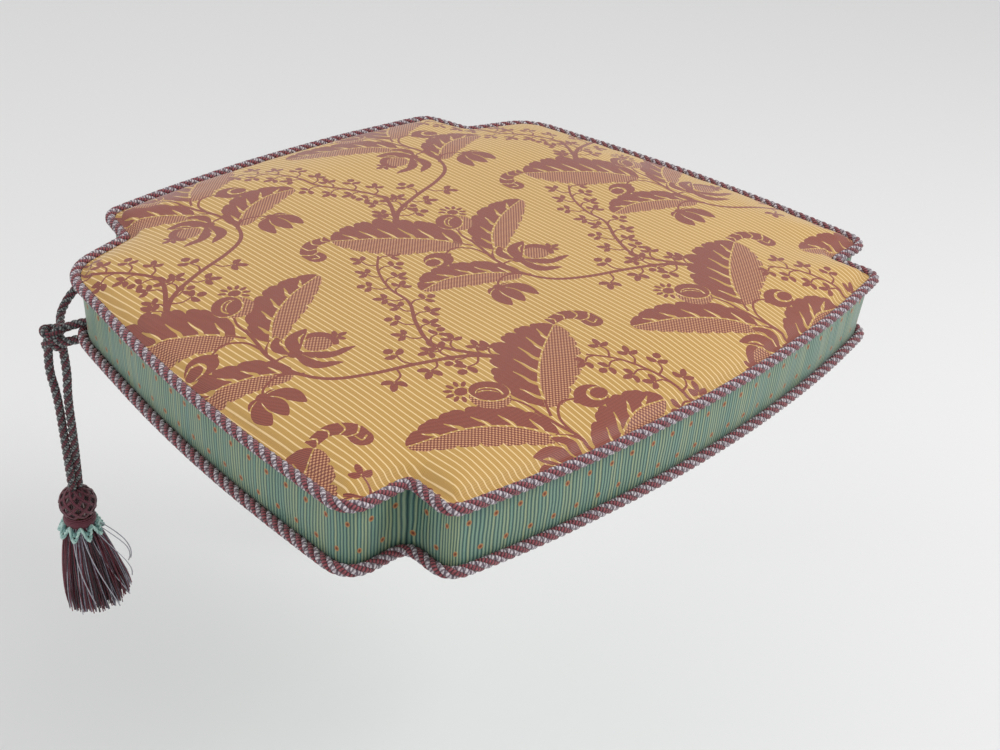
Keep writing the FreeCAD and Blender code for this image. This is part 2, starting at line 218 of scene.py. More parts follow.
EYE = Vector((-0.6077, -0.5874, 0.4745))
AZIMUTH = math.radians(-48.1)
ELEVATION = math.radians(34.1)
TILT = math.radians(4.5)
SENSOR = 36.0
camera_data = bpy.data.cameras.new("camera")
camera_data.sensor_width = SENSOR
camera_data.lens = 1.35 * SENSOR
camera_data.shift_y = 0.06
camera_data.clip_start = 0.05
camera = new_object("camera", camera_data)
back = Vector((math.sin(AZIMUTH) * math.cos(ELEVATION),
               -math.cos(AZIMUTH) * math.cos(ELEVATION), math.sin(ELEVATION)))
level = Vector((math.cos(AZIMUTH), math.sin(AZIMUTH), 0))
upright = back.cross(level)
across = level * math.cos(TILT) + upright * math.sin(TILT)
turned = Matrix((across, back.cross(across), back)).transposed()
camera.matrix_world = Matrix.Translation(EYE) @ turned.to_4x4()
bpy.context.scene.camera = camera


# ---- filling -----------------------------------------------------------------------------
# A foam core in a fibre wrap, stuffed into a ticking case that swells between its seams. The
# case is simulated cloth under pressure, and the cover's pieces are laid on its shape.
welt_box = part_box("top_welt_rope")
WELT_RADIUS = (welt_box[1].z - welt_box[0].z) / 2
WELT_HIGH = (welt_box[1].z + welt_box[0].z) / 2
WELT_LOW = sum(corner.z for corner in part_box("bottom_welt_rope")) / 2
SEAM = WELT_RADIUS + 0.1 * MM       # inset of the cover from the rope's middle
TURN = 2 * math.pi
STEP = 1.5 * MM                     # between neighbouring points of the outline
HALF_WIDTH = welt_box[1].x - WELT_RADIUS
EDGE = 221 * MM                     # middles of the front and back edges, at the rope
BACK_RADIUS = 985 * MM              # of the back edge's shallow arc
FRONT_RADIUS = 1077.5 * MM
FRONT_NOTCH = (207 * MM, 166 * MM)
REAR_NOTCH = (165 * MM, 169 * MM)


def bow(half_length, radius):
    """An edge that is one shallow arc: half its turn, and the corner its tangents make."""
    turn = math.asin(half_length / radius)
    return turn, EDGE - radius + radius / math.cos(turn)


def pad_corners():
    """Corners with the radii of their arcs, anticlockwise from the back."""
    back_turn, back_y = bow(140 * MM, BACK_RADIUS)
    front_turn, front_y = bow(185 * MM, FRONT_RADIUS)
    rear_x = 155.5 * MM
    front_x = 210 * MM
    left = [
        (-rear_x, back_y - rear_x * math.tan(back_turn), 15 * MM),
        (-REAR_NOTCH[0], REAR_NOTCH[1], 4.5 * MM),
        (-222.3 * MM, 151 * MM, 38 * MM),
        (-HALF_WIDTH, -20 * MM, 1240 * MM),
        (-HALF_WIDTH, -FRONT_NOTCH[1], 14 * MM),
        (-FRONT_NOTCH[0], -FRONT_NOTCH[1], 4.5 * MM),
        (-front_x, -front_y + front_x * math.tan(front_turn), 9.5 * MM),
    ]
    right = [(-x, y, radius) for x, y, radius in reversed(left)]
    return [(0.0, back_y, BACK_RADIUS), *left, (0.0, -front_y, FRONT_RADIUS), *right]


def travelled(points):
    """Distance along a line to each of its points."""
    return np.concatenate(([0], np.cumsum(np.linalg.norm(np.diff(points, axis=0), axis=1))))


def rounded_outline(corners):
    """Closed outline of straight sides and tangent arcs, as points an even STEP apart."""
    dense = []
    for i, (x, y, radius) in enumerate(corners):
        corner = np.array((x, y))
        come = corner - np.array(corners[i - 1][:2])
        go = np.array(corners[(i + 1) % len(corners)][:2]) - corner
        heading = math.atan2(come[1], come[0])
        turn = math.remainder(math.atan2(go[1], go[0]) - heading, TURN)
        start = corner - come / np.linalg.norm(come) * radius * math.tan(abs(turn) / 2)
        inward = math.copysign(radius, turn)
        right_hand = np.array((math.sin(heading), -math.cos(heading)))
        centre = start - right_hand * inward
        pieces = max(12, int(abs(turn) * radius / STEP))
        for k in range(pieces + 1):
            way = heading + turn * k / pieces
            dense.append(centre + np.array((math.sin(way), -math.cos(way))) * inward)
    dense = np.array(dense + dense[:1])
    along = travelled(dense)
    even = np.linspace(0, along[-1], int(along[-1] / STEP), endpoint=False)
    return np.column_stack([np.interp(even, along, dense[:, axis]) for axis in (0, 1)])


def outward(outline):
    """Unit normals of an anticlockwise outline."""
    ahead = np.roll(outline, -1, axis=0) - np.roll(outline, 1, axis=0)
    return np.column_stack((ahead[:, 1], -ahead[:, 0])) / np.linalg.norm(ahead, axis=1)[:, None]


def softened(outline, reach):
    """The outline with its corners rounded off over reach, as the slack lower seam has them."""
    steps = np.arange(-3 * reach, 3 * reach + STEP, STEP)
    weights = np.exp(-(steps / reach) ** 2 / 2)
    weights /= weights.sum()
    count = len(steps) // 2
    return sum(w * np.roll(outline, k - count, axis=0) for k, w in enumerate(weights))


RIM = rounded_outline(pad_corners())
RIM_LOW = softened(RIM, 5.5 * MM)
RIM_COUNT = len(RIM)


def ease(value):
    """0 to 1 with a smooth start and end."""
    value = np.clip(value, 0, 1)
    return value * value * (3 - 2 * value)


def ring(height, inset, scale=1.0):
    """The pad's outline at a height: the lower seam's at the bottom, the upper one's above."""
    share = float(ease((height - WELT_LOW) / (0.8 * (WELT_HIGH - WELT_LOW))))
    middle = RIM_LOW + (RIM - RIM_LOW) * share
    flat = (middle - outward(middle) * inset) * scale
    return np.column_stack((flat, np.full(RIM_COUNT, height)))


def between_rings(count, rings, closed=True):
    """Faces of a skin through rings of count points each, lowest first."""
    columns = range(count if closed else count - 1)
    return [(row * count + i, row * count + (i + 1) % count,
             (row + 1) * count + (i + 1) % count, (row + 1) * count + i)
            for row in range(rings - 1) for i in columns]


def evaluated_mesh(holder):
    """The object's mesh with its modifiers applied."""
    graph = bpy.context.evaluated_depsgraph_get()
    return bpy.data.meshes.new_from_object(holder.evaluated_get(graph))


def coordinates(mesh):
    flat = np.zeros(len(mesh.vertices) * 3)
    mesh.vertices.foreach_get("co", flat)
    return flat.reshape(-1, 3)


CASE_LEVELS = [          # height, inset and scale of the rings of the unswollen case
    (0.6, 9.0, 0.6), (0.6, 9.0, 1.0), (2.0, 5.5, 1.0), (4.0, 3.8, 1.0), (14.0, 3.6, 1.0),
    (26.0, 3.6, 1.0), (38.0, 3.6, 1.0), (48.2, 3.8, 1.0), (52.2, 7.6, 1.0), (54.4, 12.0, 1.0),
    (57.0, 12.6, 0.9), (59.0, 12.6, 0.72), (59.6, 12.6, 0.4),
]
VOXEL = 5 * MM
FRAMES = 20
MOST_SWELL = 3.5 * MM


def unswollen_case():
    rings = [ring(height * MM, inset * MM, scale) for height, inset, scale in CASE_LEVELS]
    faces = between_rings(RIM_COUNT, len(rings))
    last = (len(rings) - 1) * RIM_COUNT
    caps = [tuple(reversed(range(RIM_COUNT))), tuple(range(last, last + RIM_COUNT))]
    case = new_piece("case_pattern", np.concatenate(rings), faces + caps)
    remesh = case.modifiers.new("even", "REMESH")
    remesh.mode = "VOXEL"
    remesh.voxel_size = VOXEL
    even = evaluated_mesh(case)
    case.modifiers.clear()
    case.data = even
    return case


def swell(case):
    """Puts the case under pressure, held along its seams and under its flat bottom."""
    rest = coordinates(case.data)
    seams = kdtree.KDTree(2 * RIM_COUNT)
    for height in (WELT_LOW, WELT_HIGH):
        for i, point in enumerate(ring(height, SEAM)):
            seams.insert(point, i)
    seams.balance()
    held = [i for i, point in enumerate(rest)
            if point[2] < 2 * MM or seams.find(point)[2] < 0.7 * VOXEL]
    case.vertex_groups.new(name="held").add(held, 1.0, "REPLACE")
    cloth = case.modifiers.new("swell", "CLOTH")
    cloth.settings.vertex_group_mass = "held"
    cloth.settings.use_pressure = True
    cloth.settings.uniform_pressure_force = 4.0
    cloth.settings.effector_weights.gravity = 0.0
    cloth.point_cache.frame_end = FRAMES
    for step in range(1, FRAMES + 1):
        bpy.context.scene.frame_set(step)
    moved = coordinates(evaluated_mesh(case)) - rest
    case.modifiers.clear()
    far = np.linalg.norm(moved, axis=1, keepdims=True)
    soft_cap = MOST_SWELL * np.tanh(far / MOST_SWELL) / np.maximum(far, 1e-9)
    case.data.vertices.foreach_set("co", (rest + moved * soft_cap).ravel())
    case.data.update()


case = unswollen_case()
swell(case)
smooth = case.modifiers.new("smooth", "SUBSURF")
smooth.levels = smooth.render_levels = 1
swollen = evaluated_mesh(case)
bpy.data.objects.remove(case)
pad_shape = BVHTree.FromPolygons([v.co.copy() for v in swollen.vertices],
                                 [tuple(face.vertices) for face in swollen.polygons])

def settle(piece, body, slot, *nodes):
    """The piece stands in for its CAD nodes and rides their body."""
    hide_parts(*nodes)
    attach(piece, body)


TICKING_DEPTH = 2.6 * MM            # of the ticking under the cover's outer face
TICK_GAP = 9 * MM
places = coordinates(swollen)
normals = np.array([v.normal for v in swollen.vertices])
ticking_finish, start = new_finish("ticking_stripe")
ticks = (start.place().axis(0) * (TURN / TICK_GAP)).wave()
ticking_colour = ticks.above(0.85, 0.1).blend(shade(226, 216, 192), shade(96, 104, 122))
cover_with(start, base_color=ticking_colour, roughness=0.8)
ticking = new_piece("ticking_case_stuffed", places - normals * TICKING_DEPTH,
                    [tuple(face.vertices) for face in swollen.polygons], ticking_finish)
settle(ticking, "pad", "ticking", "ticking_case")


def dress(nodes, finish):
    """Gives CAD nodes their finish, which is all that changes on them."""
    for name in nodes:
        NODES[name].data.materials.clear()
        NODES[name].data.materials.append(finish)


def mottled_finish(name, texture, dark, light, bump=0.0, relief=0.0, **sockets):
    """A texture's shades from dark to light; bump is the height in metres of its relief."""
    finish, start = new_finish(name)
    scale, kind, inputs = texture
    spots = start.place().texture(scale, kind, **inputs)
    cover_with(start, base_color=spots.blend(shade(*dark), shade(*light)),
               height=spots * bump if bump else None, relief=relief, **sockets)
    return finish


dress(["foam_core"],
      mottled_finish("foam_cells", (700.0, "Voronoi", {}), (206, 186, 120), (240, 228, 178),
                     0.3 * MM, 0.8, roughness=0.9))
FIBRES = (260.0, "Noise", {"Detail": 6.0, "Distortion": 2.0})
dress(["wadding_upper", "wadding_lower"],
      mottled_finish("polyester_wadding", FIBRES, (214, 214, 210), (250, 250, 248), 0.6 * MM,
                     0.9, roughness=1.0))


# ---- top panel ---------------------------------------------------------------------------
# Gold silk damask with fine pale stripes and a woven figure of leafy sprays in rust. The rows
# of sprays face left and right in turn. The figure is drawn in millimetres on the flat cloth
# and meshed into it, so its edges are real edges of the mesh.
GROUND, SOLID, HATCHED = 0.0, 1.0, 0.5


def curve(*points, gap=1.7):
    """Smooth line through points."""
    knots = np.array(points, float)
    knots = np.vstack((2 * knots[0] - knots[1], knots, 2 * knots[-1] - knots[-2]))
    line = []
    for a, b, c, d in zip(knots, knots[1:], knots[2:], knots[3:]):
        steps = max(2, int(np.linalg.norm(c - b) / gap))
        for t in np.arange(steps) / steps:
            line.append(b + (c - a) * t / 2 + (a - 2.5 * b + 2 * c - d / 2) * t ** 2
                        + (1.5 * b - a / 2 - 1.5 * c + d / 2) * t ** 3)
    return np.array(line + [knots[-2]])


def directions(line):
    """Unit tangents and left-hand normals of a line."""
    ahead = np.gradient(line, axis=0)
    ahead /= np.linalg.norm(ahead, axis=1)[:, None]
    return ahead, np.column_stack((-ahead[:, 1], ahead[:, 0]))


def ribbon(line, widths):
    """Outline of a line thickened to the widths along it."""
    normals = directions(line)[1]
    half = (np.asarray(widths) / 2 * np.ones(len(line)))[:, None]
    return np.vstack((line + normals * half, (line - normals * half)[::-1]))


def toward(angle):
    """Unit vector at an angle in radians."""
    return np.array((math.cos(angle), math.sin(angle)))


def taper(line, start, end):
    return ribbon(line, np.linspace(start, end, len(line)))


def petal(base, tip, width, bend=0.0, fullness=0.8):
    """Pointed oval along a bent line; bend is to the left, as a share of its length."""
    base, tip = np.array(base, float), np.array(tip, float)
    reach = tip - base
    middle = (base + tip) / 2 + np.array((-reach[1], reach[0])) * bend
    line = curve(base, middle, tip, gap=1.2)
    return ribbon(line, width * np.sin(np.linspace(0.06, 0.985, len(line)) * math.pi) ** fullness)


def oval(x, y, long, wide, turn=0.0):
    around = np.linspace(0, TURN, max(8, int(long * 2.4)), endpoint=False)
    way = math.radians(turn)
    u, v = long * np.cos(around), wide * np.sin(around)
    return np.column_stack((x + u * math.cos(way) - v * math.sin(way),
                            y + u * math.sin(way) + v * math.cos(way)))


def half_leaf_edge(line, side, width, lobes, depth, lean):
    """Edge of one half of a leaf: lobes that lean towards the tip, each lightly scalloped."""
    ahead, left = directions(line)
    t = np.linspace(0, 1, len(line))
    body = np.sin(math.pi * (0.05 + 0.95 * t) ** 0.85) ** 0.6
    hump = np.abs(np.sin(math.pi * t * lobes)) ** 0.5
    scallop = np.abs(np.sin(math.pi * t * lobes * 2)) ** 0.7
    reach = (width * body * (1 - depth + depth * (0.7 * hump + 0.3 * scallop)))[:, None]
    return line + left * reach * side + ahead * reach * lean


def draw_leaf(spine, widths, lobes, side):
    """Solid half with flame-like veins on one side of the spine, hatched half on the other."""
    line = curve(*spine, gap=0.8)
    solid_width, hatched_width = widths
    solid = half_leaf_edge(line, side, solid_width, lobes, 0.2, 0.42)
    hatched = half_leaf_edge(line, -side, hatched_width, lobes, 0.2, 0.3)
    yield HATCHED, np.vstack((line, hatched[::-1]))
    yield SOLID, np.vstack((line, solid[::-1]))
    for k in range(1, lobes):
        notch = round((k - 0.1) / lobes * (len(line) - 1))
        root = line[max(0, notch - 3)]
        out = solid[notch] - line[notch]
        sweep = curve(root, root + out * 0.16, line[notch] + out * 0.34,
                      line[notch] + out * 0.55 + (line[notch] - root) * 0.9, gap=0.9)
        yield GROUND, taper(sweep, 3.2, 0.6)
    yield GROUND, taper(line, 1.7, 0.8)


def draw_curled_tip(spine):
    """The rolled end of the great leaf, banded across."""
    line = curve(*spine, gap=1.0)
    widths = 8 + 6 * np.linspace(0, 1, len(line)) ** 1.5
    normals = directions(line)[1]
    yield SOLID, ribbon(line, widths)
    yield SOLID, oval(*line[-1], 7.0, 7.0)
    for share in (0.05, 0.3, 0.55, 0.8):
        i = round(share * (len(line) - 1))
        across = normals[i] * widths[i] * 0.52
        ahead = line[min(i + 3, len(line) - 1)] - line[i]
        yield GROUND, taper(curve(line[i] - across, line[i] + ahead, line[i] + across, gap=1.2),
                            1.4, 0.7)
    yield GROUND, taper(curve(line[-1] - 4 * normals[-1], line[-1] + (1, -2), line[-1] + (2, 3),
                              gap=1.2), 1.2, 0.8)


def draw_trefoil(root, tip, size, berry):
    """Short curved stalk with three small leaves set apart, or two and a berry."""
    root, tip = np.array(root, float), np.array(tip, float)
    reach = tip - root
    bow_out = (root + tip) / 2 + np.array((-reach[1], reach[0])) * 0.2
    yield SOLID, taper(curve(root, bow_out, tip), 1.6, 1.2)
    heading = math.atan2(reach[1], reach[0])
    for turn in (-1.2, 1.2):
        way = toward(heading + turn)
        yield SOLID, petal(tip + way * 0.5, tip + way * size * 1.05, size * 0.62, 0.12 * turn, 0.5)
    way = toward(heading)
    if berry:
        yield SOLID, oval(*(tip + way * size * 0.8), size * 0.45, size * 0.4)
    else:
        yield SOLID, petal(tip + way * 0.6, tip + way * size * 1.2, size * 0.64, 0.0, 0.5)


def draw_twigs(line, gap, reach, size):
    """Trefoils and berries along a stem, on its two sides in turn."""
    ahead, left = directions(line)
    along = travelled(line)
    for k, place in enumerate(np.arange(gap * 0.6, along[-1], gap)):
        i = int(np.searchsorted(along, place)) - 1
        side = 1 if k % 2 else -1
        out = left[i] * side * reach * (1.0 if k % 3 else 0.75) + ahead[i] * reach * 0.55
        yield from draw_trefoil(line[i], line[i] + out, size, k % 3 == 1)


def draw_fruit(x, y, heading):
    """Round fruit in a hatched cup, with a small crown of separate stamens."""
    way = math.radians(heading)
    ahead = toward(way)
    side = np.array((ahead[1], -ahead[0]))
    middle = np.array((x, y))
    crown = middle + ahead * 16.0
    yield SOLID, oval(*crown, 4.4, 3.8)
    for k in range(7):
        out = toward(way + math.radians(34) * (k - 3))
        yield SOLID, petal(crown + out * 5.0, crown + out * 10.5, 3.0, 0.0, 0.45)
    yield HATCHED, oval(*(middle + side * 4.6 - ahead * 0.5), 12.2, 11.0, heading)
    yield GROUND, oval(*(middle - side * 1.0), 12.6, 9.8, heading)
    yield SOLID, oval(*(middle - side * 1.6), 11.8, 9.4, heading)
    arch = [middle + ahead * 8.0 * math.cos(t) - side * (5.6 * math.sin(t) - 1.0)
            for t in (-0.1, 0.6, 1.4, 2.3, 3.2)]
    yield GROUND, taper(curve(*arch, gap=1.0), 0.6, 1.3)
    low = [middle + ahead * 6.6 * math.cos(t) - side * (2.6 * math.sin(t) - 0.8)
           for t in (0.2, 1.0, 1.8, 2.6)]
    yield GROUND, taper(curve(*low, gap=1.0), 1.0, 0.5)


def draw_open_flower(x, y, heading):
    """Open flower: four slender petals, and a hatched heart under a curled one."""
    way = math.radians(heading)
    ahead = toward(way)
    root = np.array((x, y))
    heart = root + ahead * 17
    yield HATCHED, oval(*heart, 9.5, 8.0, heading)
    rim = curve(*[heart + toward(way + turn) * 10.5 for turn in (1.9, 1.2, 0.5, -0.2, -0.8)],
                gap=1.0)
    yield SOLID, ribbon(rim, 5.5 * np.sin(np.linspace(0.12, 0.9, len(rim)) * math.pi) ** 0.5)
    for turn, long, wide, bend in ((84, 22, 9.5, 0.2), (40, 28, 11, 0.14), (-26, 36, 7.5, -0.16),
                                   (-58, 30, 8.0, -0.24)):
        out = toward(way + math.radians(turn))
        yield GROUND, petal(root - out, root + out * (long + 1.2), wide + 2.2, bend)
        yield SOLID, petal(root, root + out * long, wide, bend)
        yield GROUND, petal(root + out * long * 0.4, root + out * long * 0.8, 1.5, bend)
    yield from draw_trefoil(root + ahead * 26, root + ahead * 31, 6.0, False)
    yield SOLID, oval(x, y, 4.8, 4.2, heading)


def draw_tulip(x, y, heading):
    """Small bell of three petals over two sepals."""
    root = np.array((x, y), float)
    for turn, long, wide, bend in ((74, 12, 4.4, 0.2), (-74, 12, 4.4, -0.2), (34, 26, 11.0, 0.2),
                                   (-24, 24, 11.5, -0.14), (2, 23, 10.5, 0.05)):
        out = toward(math.radians(heading + turn))
        yield GROUND, petal(root, root + out * (long + 1), wide + 2.0, bend, 0.75)
        yield SOLID, petal(root, root + out * long, wide, bend, 0.75)
    yield SOLID, oval(x, y, 4.6, 4.0, heading)


def draw_bud(x, y, heading):
    """Round bud with a pale crescent round its opening."""
    ahead = toward(math.radians(heading))
    yield SOLID, oval(x, y, 11.0, 9.6, heading)
    opening = np.array((x, y)) + ahead * 4.6
    yield GROUND, oval(*opening, 7.0, 5.8, heading)
    yield SOLID, oval(*(opening + ahead * 1.4), 6.0, 4.6, heading)
    yield SOLID, petal(np.array((x, y)) - ahead * 13, np.array((x, y)) - ahead * 5, 5.0)


def draw_spray():
    """One spray, with its main stem rising to the left from the origin."""
    stem = curve((3, -4), (-15, 14), (-42, 26), (-72, 36), (-93, 48), (-103, 66), (-104, 90),
                 (-99, 110), (-96, 124))
    branch = curve((-5, 6), (-19, 28), (-22, 42), (-12, 64), (1, 84), (4, 106), (14, 128),
                   (28, 144))
    yield from draw_twigs(branch, 8.2, 11.0, 6.8)
    yield from draw_twigs(stem[:len(stem) * 45 // 100], 13.0, 13.0, 7.6)
    yield from draw_leaf([(-104, 122), (-118, 142), (-142, 162), (-172, 180)], (30, 26), 7, -1)
    yield from draw_curled_tip([(-172, 184), (-186, 184), (-195, 176), (-195, 168)])
    yield from draw_leaf([(-94, 102), (-76, 122), (-50, 138), (-20, 148)], (19, 17), 6, 1)
    yield from draw_leaf([(-104, 66), (-122, 82), (-148, 92), (-172, 90)], (18, 16), 6, -1)
    yield SOLID, taper(stem, 3.6, 2.4)
    yield SOLID, taper(branch, 3.4, 1.6)
    for stalk in (((-97, 120), (-96, 131), (-91, 143)), ((-104, 84), (-98, 84), (-90, 82)),
                  ((-100, 62), (-112, 71), (-125, 68), (-130, 60)),
                  ((-102, 98), (-104, 112), (-114, 121), (-126, 118)),
                  ((-104, 92), (-100, 98), (-92, 104)), ((-101, 116), (-103, 120), (-108, 128)),
                  ((-100, 58), (-106, 68), (-113, 74))):
        yield SOLID, taper(curve(*stalk), 2.0, 1.5)
    yield from draw_fruit(-87, 152, 42)
    yield from draw_open_flower(-91, 82, -2)
    yield from draw_tulip(-130, 62, -92)
    yield from draw_bud(-134, 115, 188)


REPEAT = (190.0, 173.0)
SPRAY_ROOTS = ((95.0, -125.0), (-25.0, 48.0))     # of a row that faces left, and of one right


def figure_on_pad():
    """Every spray that reaches the pad, as (kind, outline) in metres, in drawing order."""
    spray = list(draw_spray())
    for row in range(-2, 2):
        left_facing = row % 2 == 0
        root_x = SPRAY_ROOTS[0][0] if left_facing else SPRAY_ROOTS[1][0]
        root_y = SPRAY_ROOTS[0][1] + REPEAT[1] * row
        for column in range(-3, 4):
            shift = np.array((root_x + REPEAT[0] * column, root_y))
            facing = np.array((1 if left_facing else -1, 1))
            for kind, outline in spray:
                placed = (outline * facing + shift) * MM
                if np.abs(placed[:, 0]).min() < HALF_WIDTH and np.abs(placed[:, 1]).min() < EDGE:
                    yield kind, placed


GRID = 4.5 * MM
EDGE_ROWS = (1.6 * MM, 3.6 * MM, 6.2 * MM, 9.5 * MM)


def inside(points, outline):
    """Which points lie inside a closed outline."""
    hits = np.zeros(len(points), bool)
    for (x0, y0), (x1, y1) in zip(outline, np.roll(outline, -1, axis=0)):
        if y0 != y1:
            crosses = (points[:, 1] < y0) != (points[:, 1] < y1)
            hits ^= crosses & (points[:, 0] < x0 + (points[:, 1] - y0) / (y1 - y0) * (x1 - x0))
    return hits


def mesh_figure():
    """Flat triangles of the panel, and each triangle's kind."""
    rim = ring(WELT_HIGH, SEAM)[:, :2]
    figure = list(figure_on_pad())
    rows = [ring(WELT_HIGH, SEAM + row)[::2, :2] for row in EDGE_ROWS]
    across = np.arange(-HALF_WIDTH, HALF_WIDTH, GRID)
    grid = np.stack(np.meshgrid(across, across), axis=-1).reshape(-1, 2)
    grid = grid[inside(grid, ring(WELT_HIGH, SEAM + EDGE_ROWS[-1] + GRID / 2)[:, :2])]
    loops = [rim] + [outline for _, outline in figure]
    edges = []
    first = 0
    for loop in loops:
        edges += [(first + k, first + (k + 1) % len(loop)) for k in range(len(loop))]
        first += len(loop)
    points = [Vector(point) for point in np.concatenate([*loops, *rows, grid])]
    flat, _, triangles, _, _, _ = geometry.delaunay_2d_cdt(points, edges, [], 0, 1e-6)
    flat = np.array([tuple(point) for point in flat])
    triangles = np.array(triangles)
    middles = flat[triangles].mean(axis=1)
    on_pad = inside(middles, rim)
    triangles, middles = triangles[on_pad], middles[on_pad]
    kinds = np.full(len(middles), GROUND)
    for kind, outline in figure:
        low, high = outline.min(axis=0), outline.max(axis=0)
        near = np.flatnonzero(((middles > low) & (middles < high)).all(axis=1))
        kinds[near[inside(middles[near], outline)]] = kind
    used, triangles = np.unique(triangles, return_inverse=True)
    return flat[used], triangles.reshape(-1, 3).tolist(), kinds


def tree_of(holder):
    return BVHTree.FromPolygons([v.co.copy() for v in holder.data.vertices],
                                [tuple(face.vertices) for face in holder.data.polygons])


ABOVE = 200 * MM                    # where the rays that feel for the pad start
CLOTH = 0.7 * MM                    # cover cloth on the swollen case
WADDING_ROOM = 1.6 * MM
ROLL = 6.5 * MM                     # width in which the panel rises from its seam
PANEL_SEAM = WELT_HIGH + 0.7 * MM   # over the lip


def lay_on_pad(flat):
    """Heights of the cover's face over flat points."""
    wadding = tree_of(NODES["wadding_upper"])
    edge = kdtree.KDTree(RIM_COUNT)
    for i, (x, y, _) in enumerate(ring(WELT_HIGH, SEAM)):
        edge.insert((x, y, 0), i)
    edge.balance()
    heights = []
    for x, y in flat:
        start = Vector((x, y, ABOVE))
        hit = pad_shape.ray_cast(start, Vector((0, 0, -1)))[0]
        soft = hit.z + CLOTH if hit else PANEL_SEAM
        core = wadding.ray_cast(start, Vector((0, 0, -1)))[0]
        if core:
            lowest = core.z + WADDING_ROOM
            soft = lowest + math.log1p(math.exp((soft - lowest) / MM)) * MM
        rise = min(1.0, 2 * float(ease(edge.find((x, y, 0))[2] / ROLL / 2)))
        heights.append(PANEL_SEAM + (max(soft, PANEL_SEAM) - PANEL_SEAM) * rise)
    return np.array(heights)


flat, triangles, kinds = mesh_figure()
damask, start = new_finish("gold_damask")
place = start.place()
x = place.axis(0) + place.texture(26.0, Detail=2.0) * (1.0 * MM)
y = place.axis(1)
STRIPE = 3.95 * MM                  # this and the next four are the distances between repeats
WEFT = 0.95 * MM
WARP = 0.8 * MM
TWILL = 1.15 * MM
CHECK = 2.6 * MM
stripes = (x * (TURN / STRIPE)).wave()
weft = (y * (TURN / WEFT)).wave()
warp = (x * (TURN / WARP)).wave()
twill = (x * (TURN * 0.75 / TWILL) + y * (TURN * 0.66 / TWILL)).wave()
checks = (x * (TURN / CHECK)).wave() * (y * (TURN / CHECK)).wave()
figure = start.stored("figure")
is_solid = figure.above(0.75, 0.1)
is_figure = figure.above(0.25, 0.1)
shimmer = place.texture(9.0, Detail=3.0)
ground = shimmer.above(0.5, 0.5).blend(shade(184, 142, 74), shade(202, 160, 92))
ground = (weft * 0.5 + 0.5).blend(ground, shade(176, 138, 66))
pale_stripes = stripes.above(0.8, 0.2)
ground = pale_stripes.blend(ground, shade(232, 200, 146))
# The satin figure's twill lines are a weave pattern, drawn with a painted highlight in lit rust on
# their crests and painted shade in darker rust in their hollows.
solid = (twill * 0.5 + 0.5).blend(shade(108, 46, 36), shade(152, 78, 58))
hatched = checks.above(-0.2, 0.7).blend(shade(206, 150, 108), shade(118, 56, 40))
figured = is_solid.blend(hatched, solid)
threads_up = weft * (0.03 * MM) + warp * (0.02 * MM) + pale_stripes * (0.08 * MM)
figure_up = is_figure * (0.10 * MM) + twill * is_figure * (0.05 * MM)
cover_with(start, base_color=is_figure.blend(ground, figured),
           height=figure_up + threads_up, relief=0.5,
           roughness=0.62 - is_figure * 0.1, sheen_weight=0.25, sheen_roughness=0.4)
top_panel = new_piece("top_panel_damask", np.column_stack((flat, lay_on_pad(flat))), triangles,
                      damask)
top_panel.data.attributes.new("figure", "FLOAT", "FACE").data.foreach_set("value", kinds)
settle(top_panel, "pad", "damask", "top_panel")


# ---- boxing and underside ----------------------------------------------------------------
# Strips of green pinstriped silk with small rust spots, sewn between the two seams and into
# the notches, each slightly gathered. The underside is the same cloth, plainer and flat.
PINSTRIPE = 2.5 * MM
SPOT_GAP = 17 * MM
SPOT_ROWS = ((33.5 * MM, 0.0), (14.5 * MM, 0.5))     # height, and shift along the strip
SPOT = (1.9 * MM, 2.1 * MM)                          # half width, half height

boxing_finish, start = new_finish("green_pinstripe")
cloth_map = start.node("ShaderNodeUVMap", {"uv_map": "cloth"})
u = cloth_map.axis(0) + cloth_map.texture(34.0, Detail=2.0) * (2.5 * MM)
v = cloth_map.axis(1)
lines = u / PINSTRIPE
which = lines.maths("FLOOR")
across = lines.maths("FRACT")
odd = start.node("ShaderNodeTexWhiteNoise", {"noise_dimensions": "1D"}, {"W": which})
stripe = start.node("ShaderNodeValToRGB", {"stops": [
    (0.0, shade(30, 68, 68)), (0.14, shade(56, 96, 90)), (0.3, shade(114, 146, 120)),
    (0.5, shade(146, 170, 138)), (0.66, shade(110, 142, 118)), (0.8, shade(46, 86, 82)),
    (1.0, shade(30, 68, 68))]}, {"Fac": across})
tint = odd.blend(shade(80, 124, 124), shade(168, 168, 118))
middle = 0.5 - (across - 0.5).maths("ABSOLUTE")
striped = middle.blend(stripe, tint)
dots = hearts = None
for height, shift in SPOT_ROWS:
    cycle = u / SPOT_GAP + shift
    sideways = (cycle.maths("FRACT") - 0.5) * SPOT_GAP
    width = sideways.maths("ABSOLUTE") / SPOT[0]
    tall = (v - height).maths("ABSOLUTE") / SPOT[1]
    reach = width * width + tall * tall
    spot = 1 - reach.above(0.8, 0.5)
    heart = 1 - reach.above(0.25, 0.45)
    dots = spot if dots is None else dots + spot
    hearts = heart if hearts is None else hearts + heart
RIB_GAP = 0.9 * MM
ribs = (v * (TURN / RIB_GAP)).wave()
spotted = dots.maths("MINIMUM", 1.0).blend(striped, shade(170, 122, 76))
spotted = hearts.maths("MINIMUM", 1.0).blend(spotted, shade(112, 46, 24))
cover_with(start, base_color=spotted,
           height=ribs * (0.03 * MM) + (across * TURN).wave() * (0.06 * MM) + dots * (0.12 * MM),
           relief=0.5, roughness=0.5 + dots * 0.2, sheen_weight=0.3, sheen_roughness=0.35)


def rim_index(x, y):
    return int(np.argmin(np.hypot(RIM[:, 0] - x, RIM[:, 1] - y)))


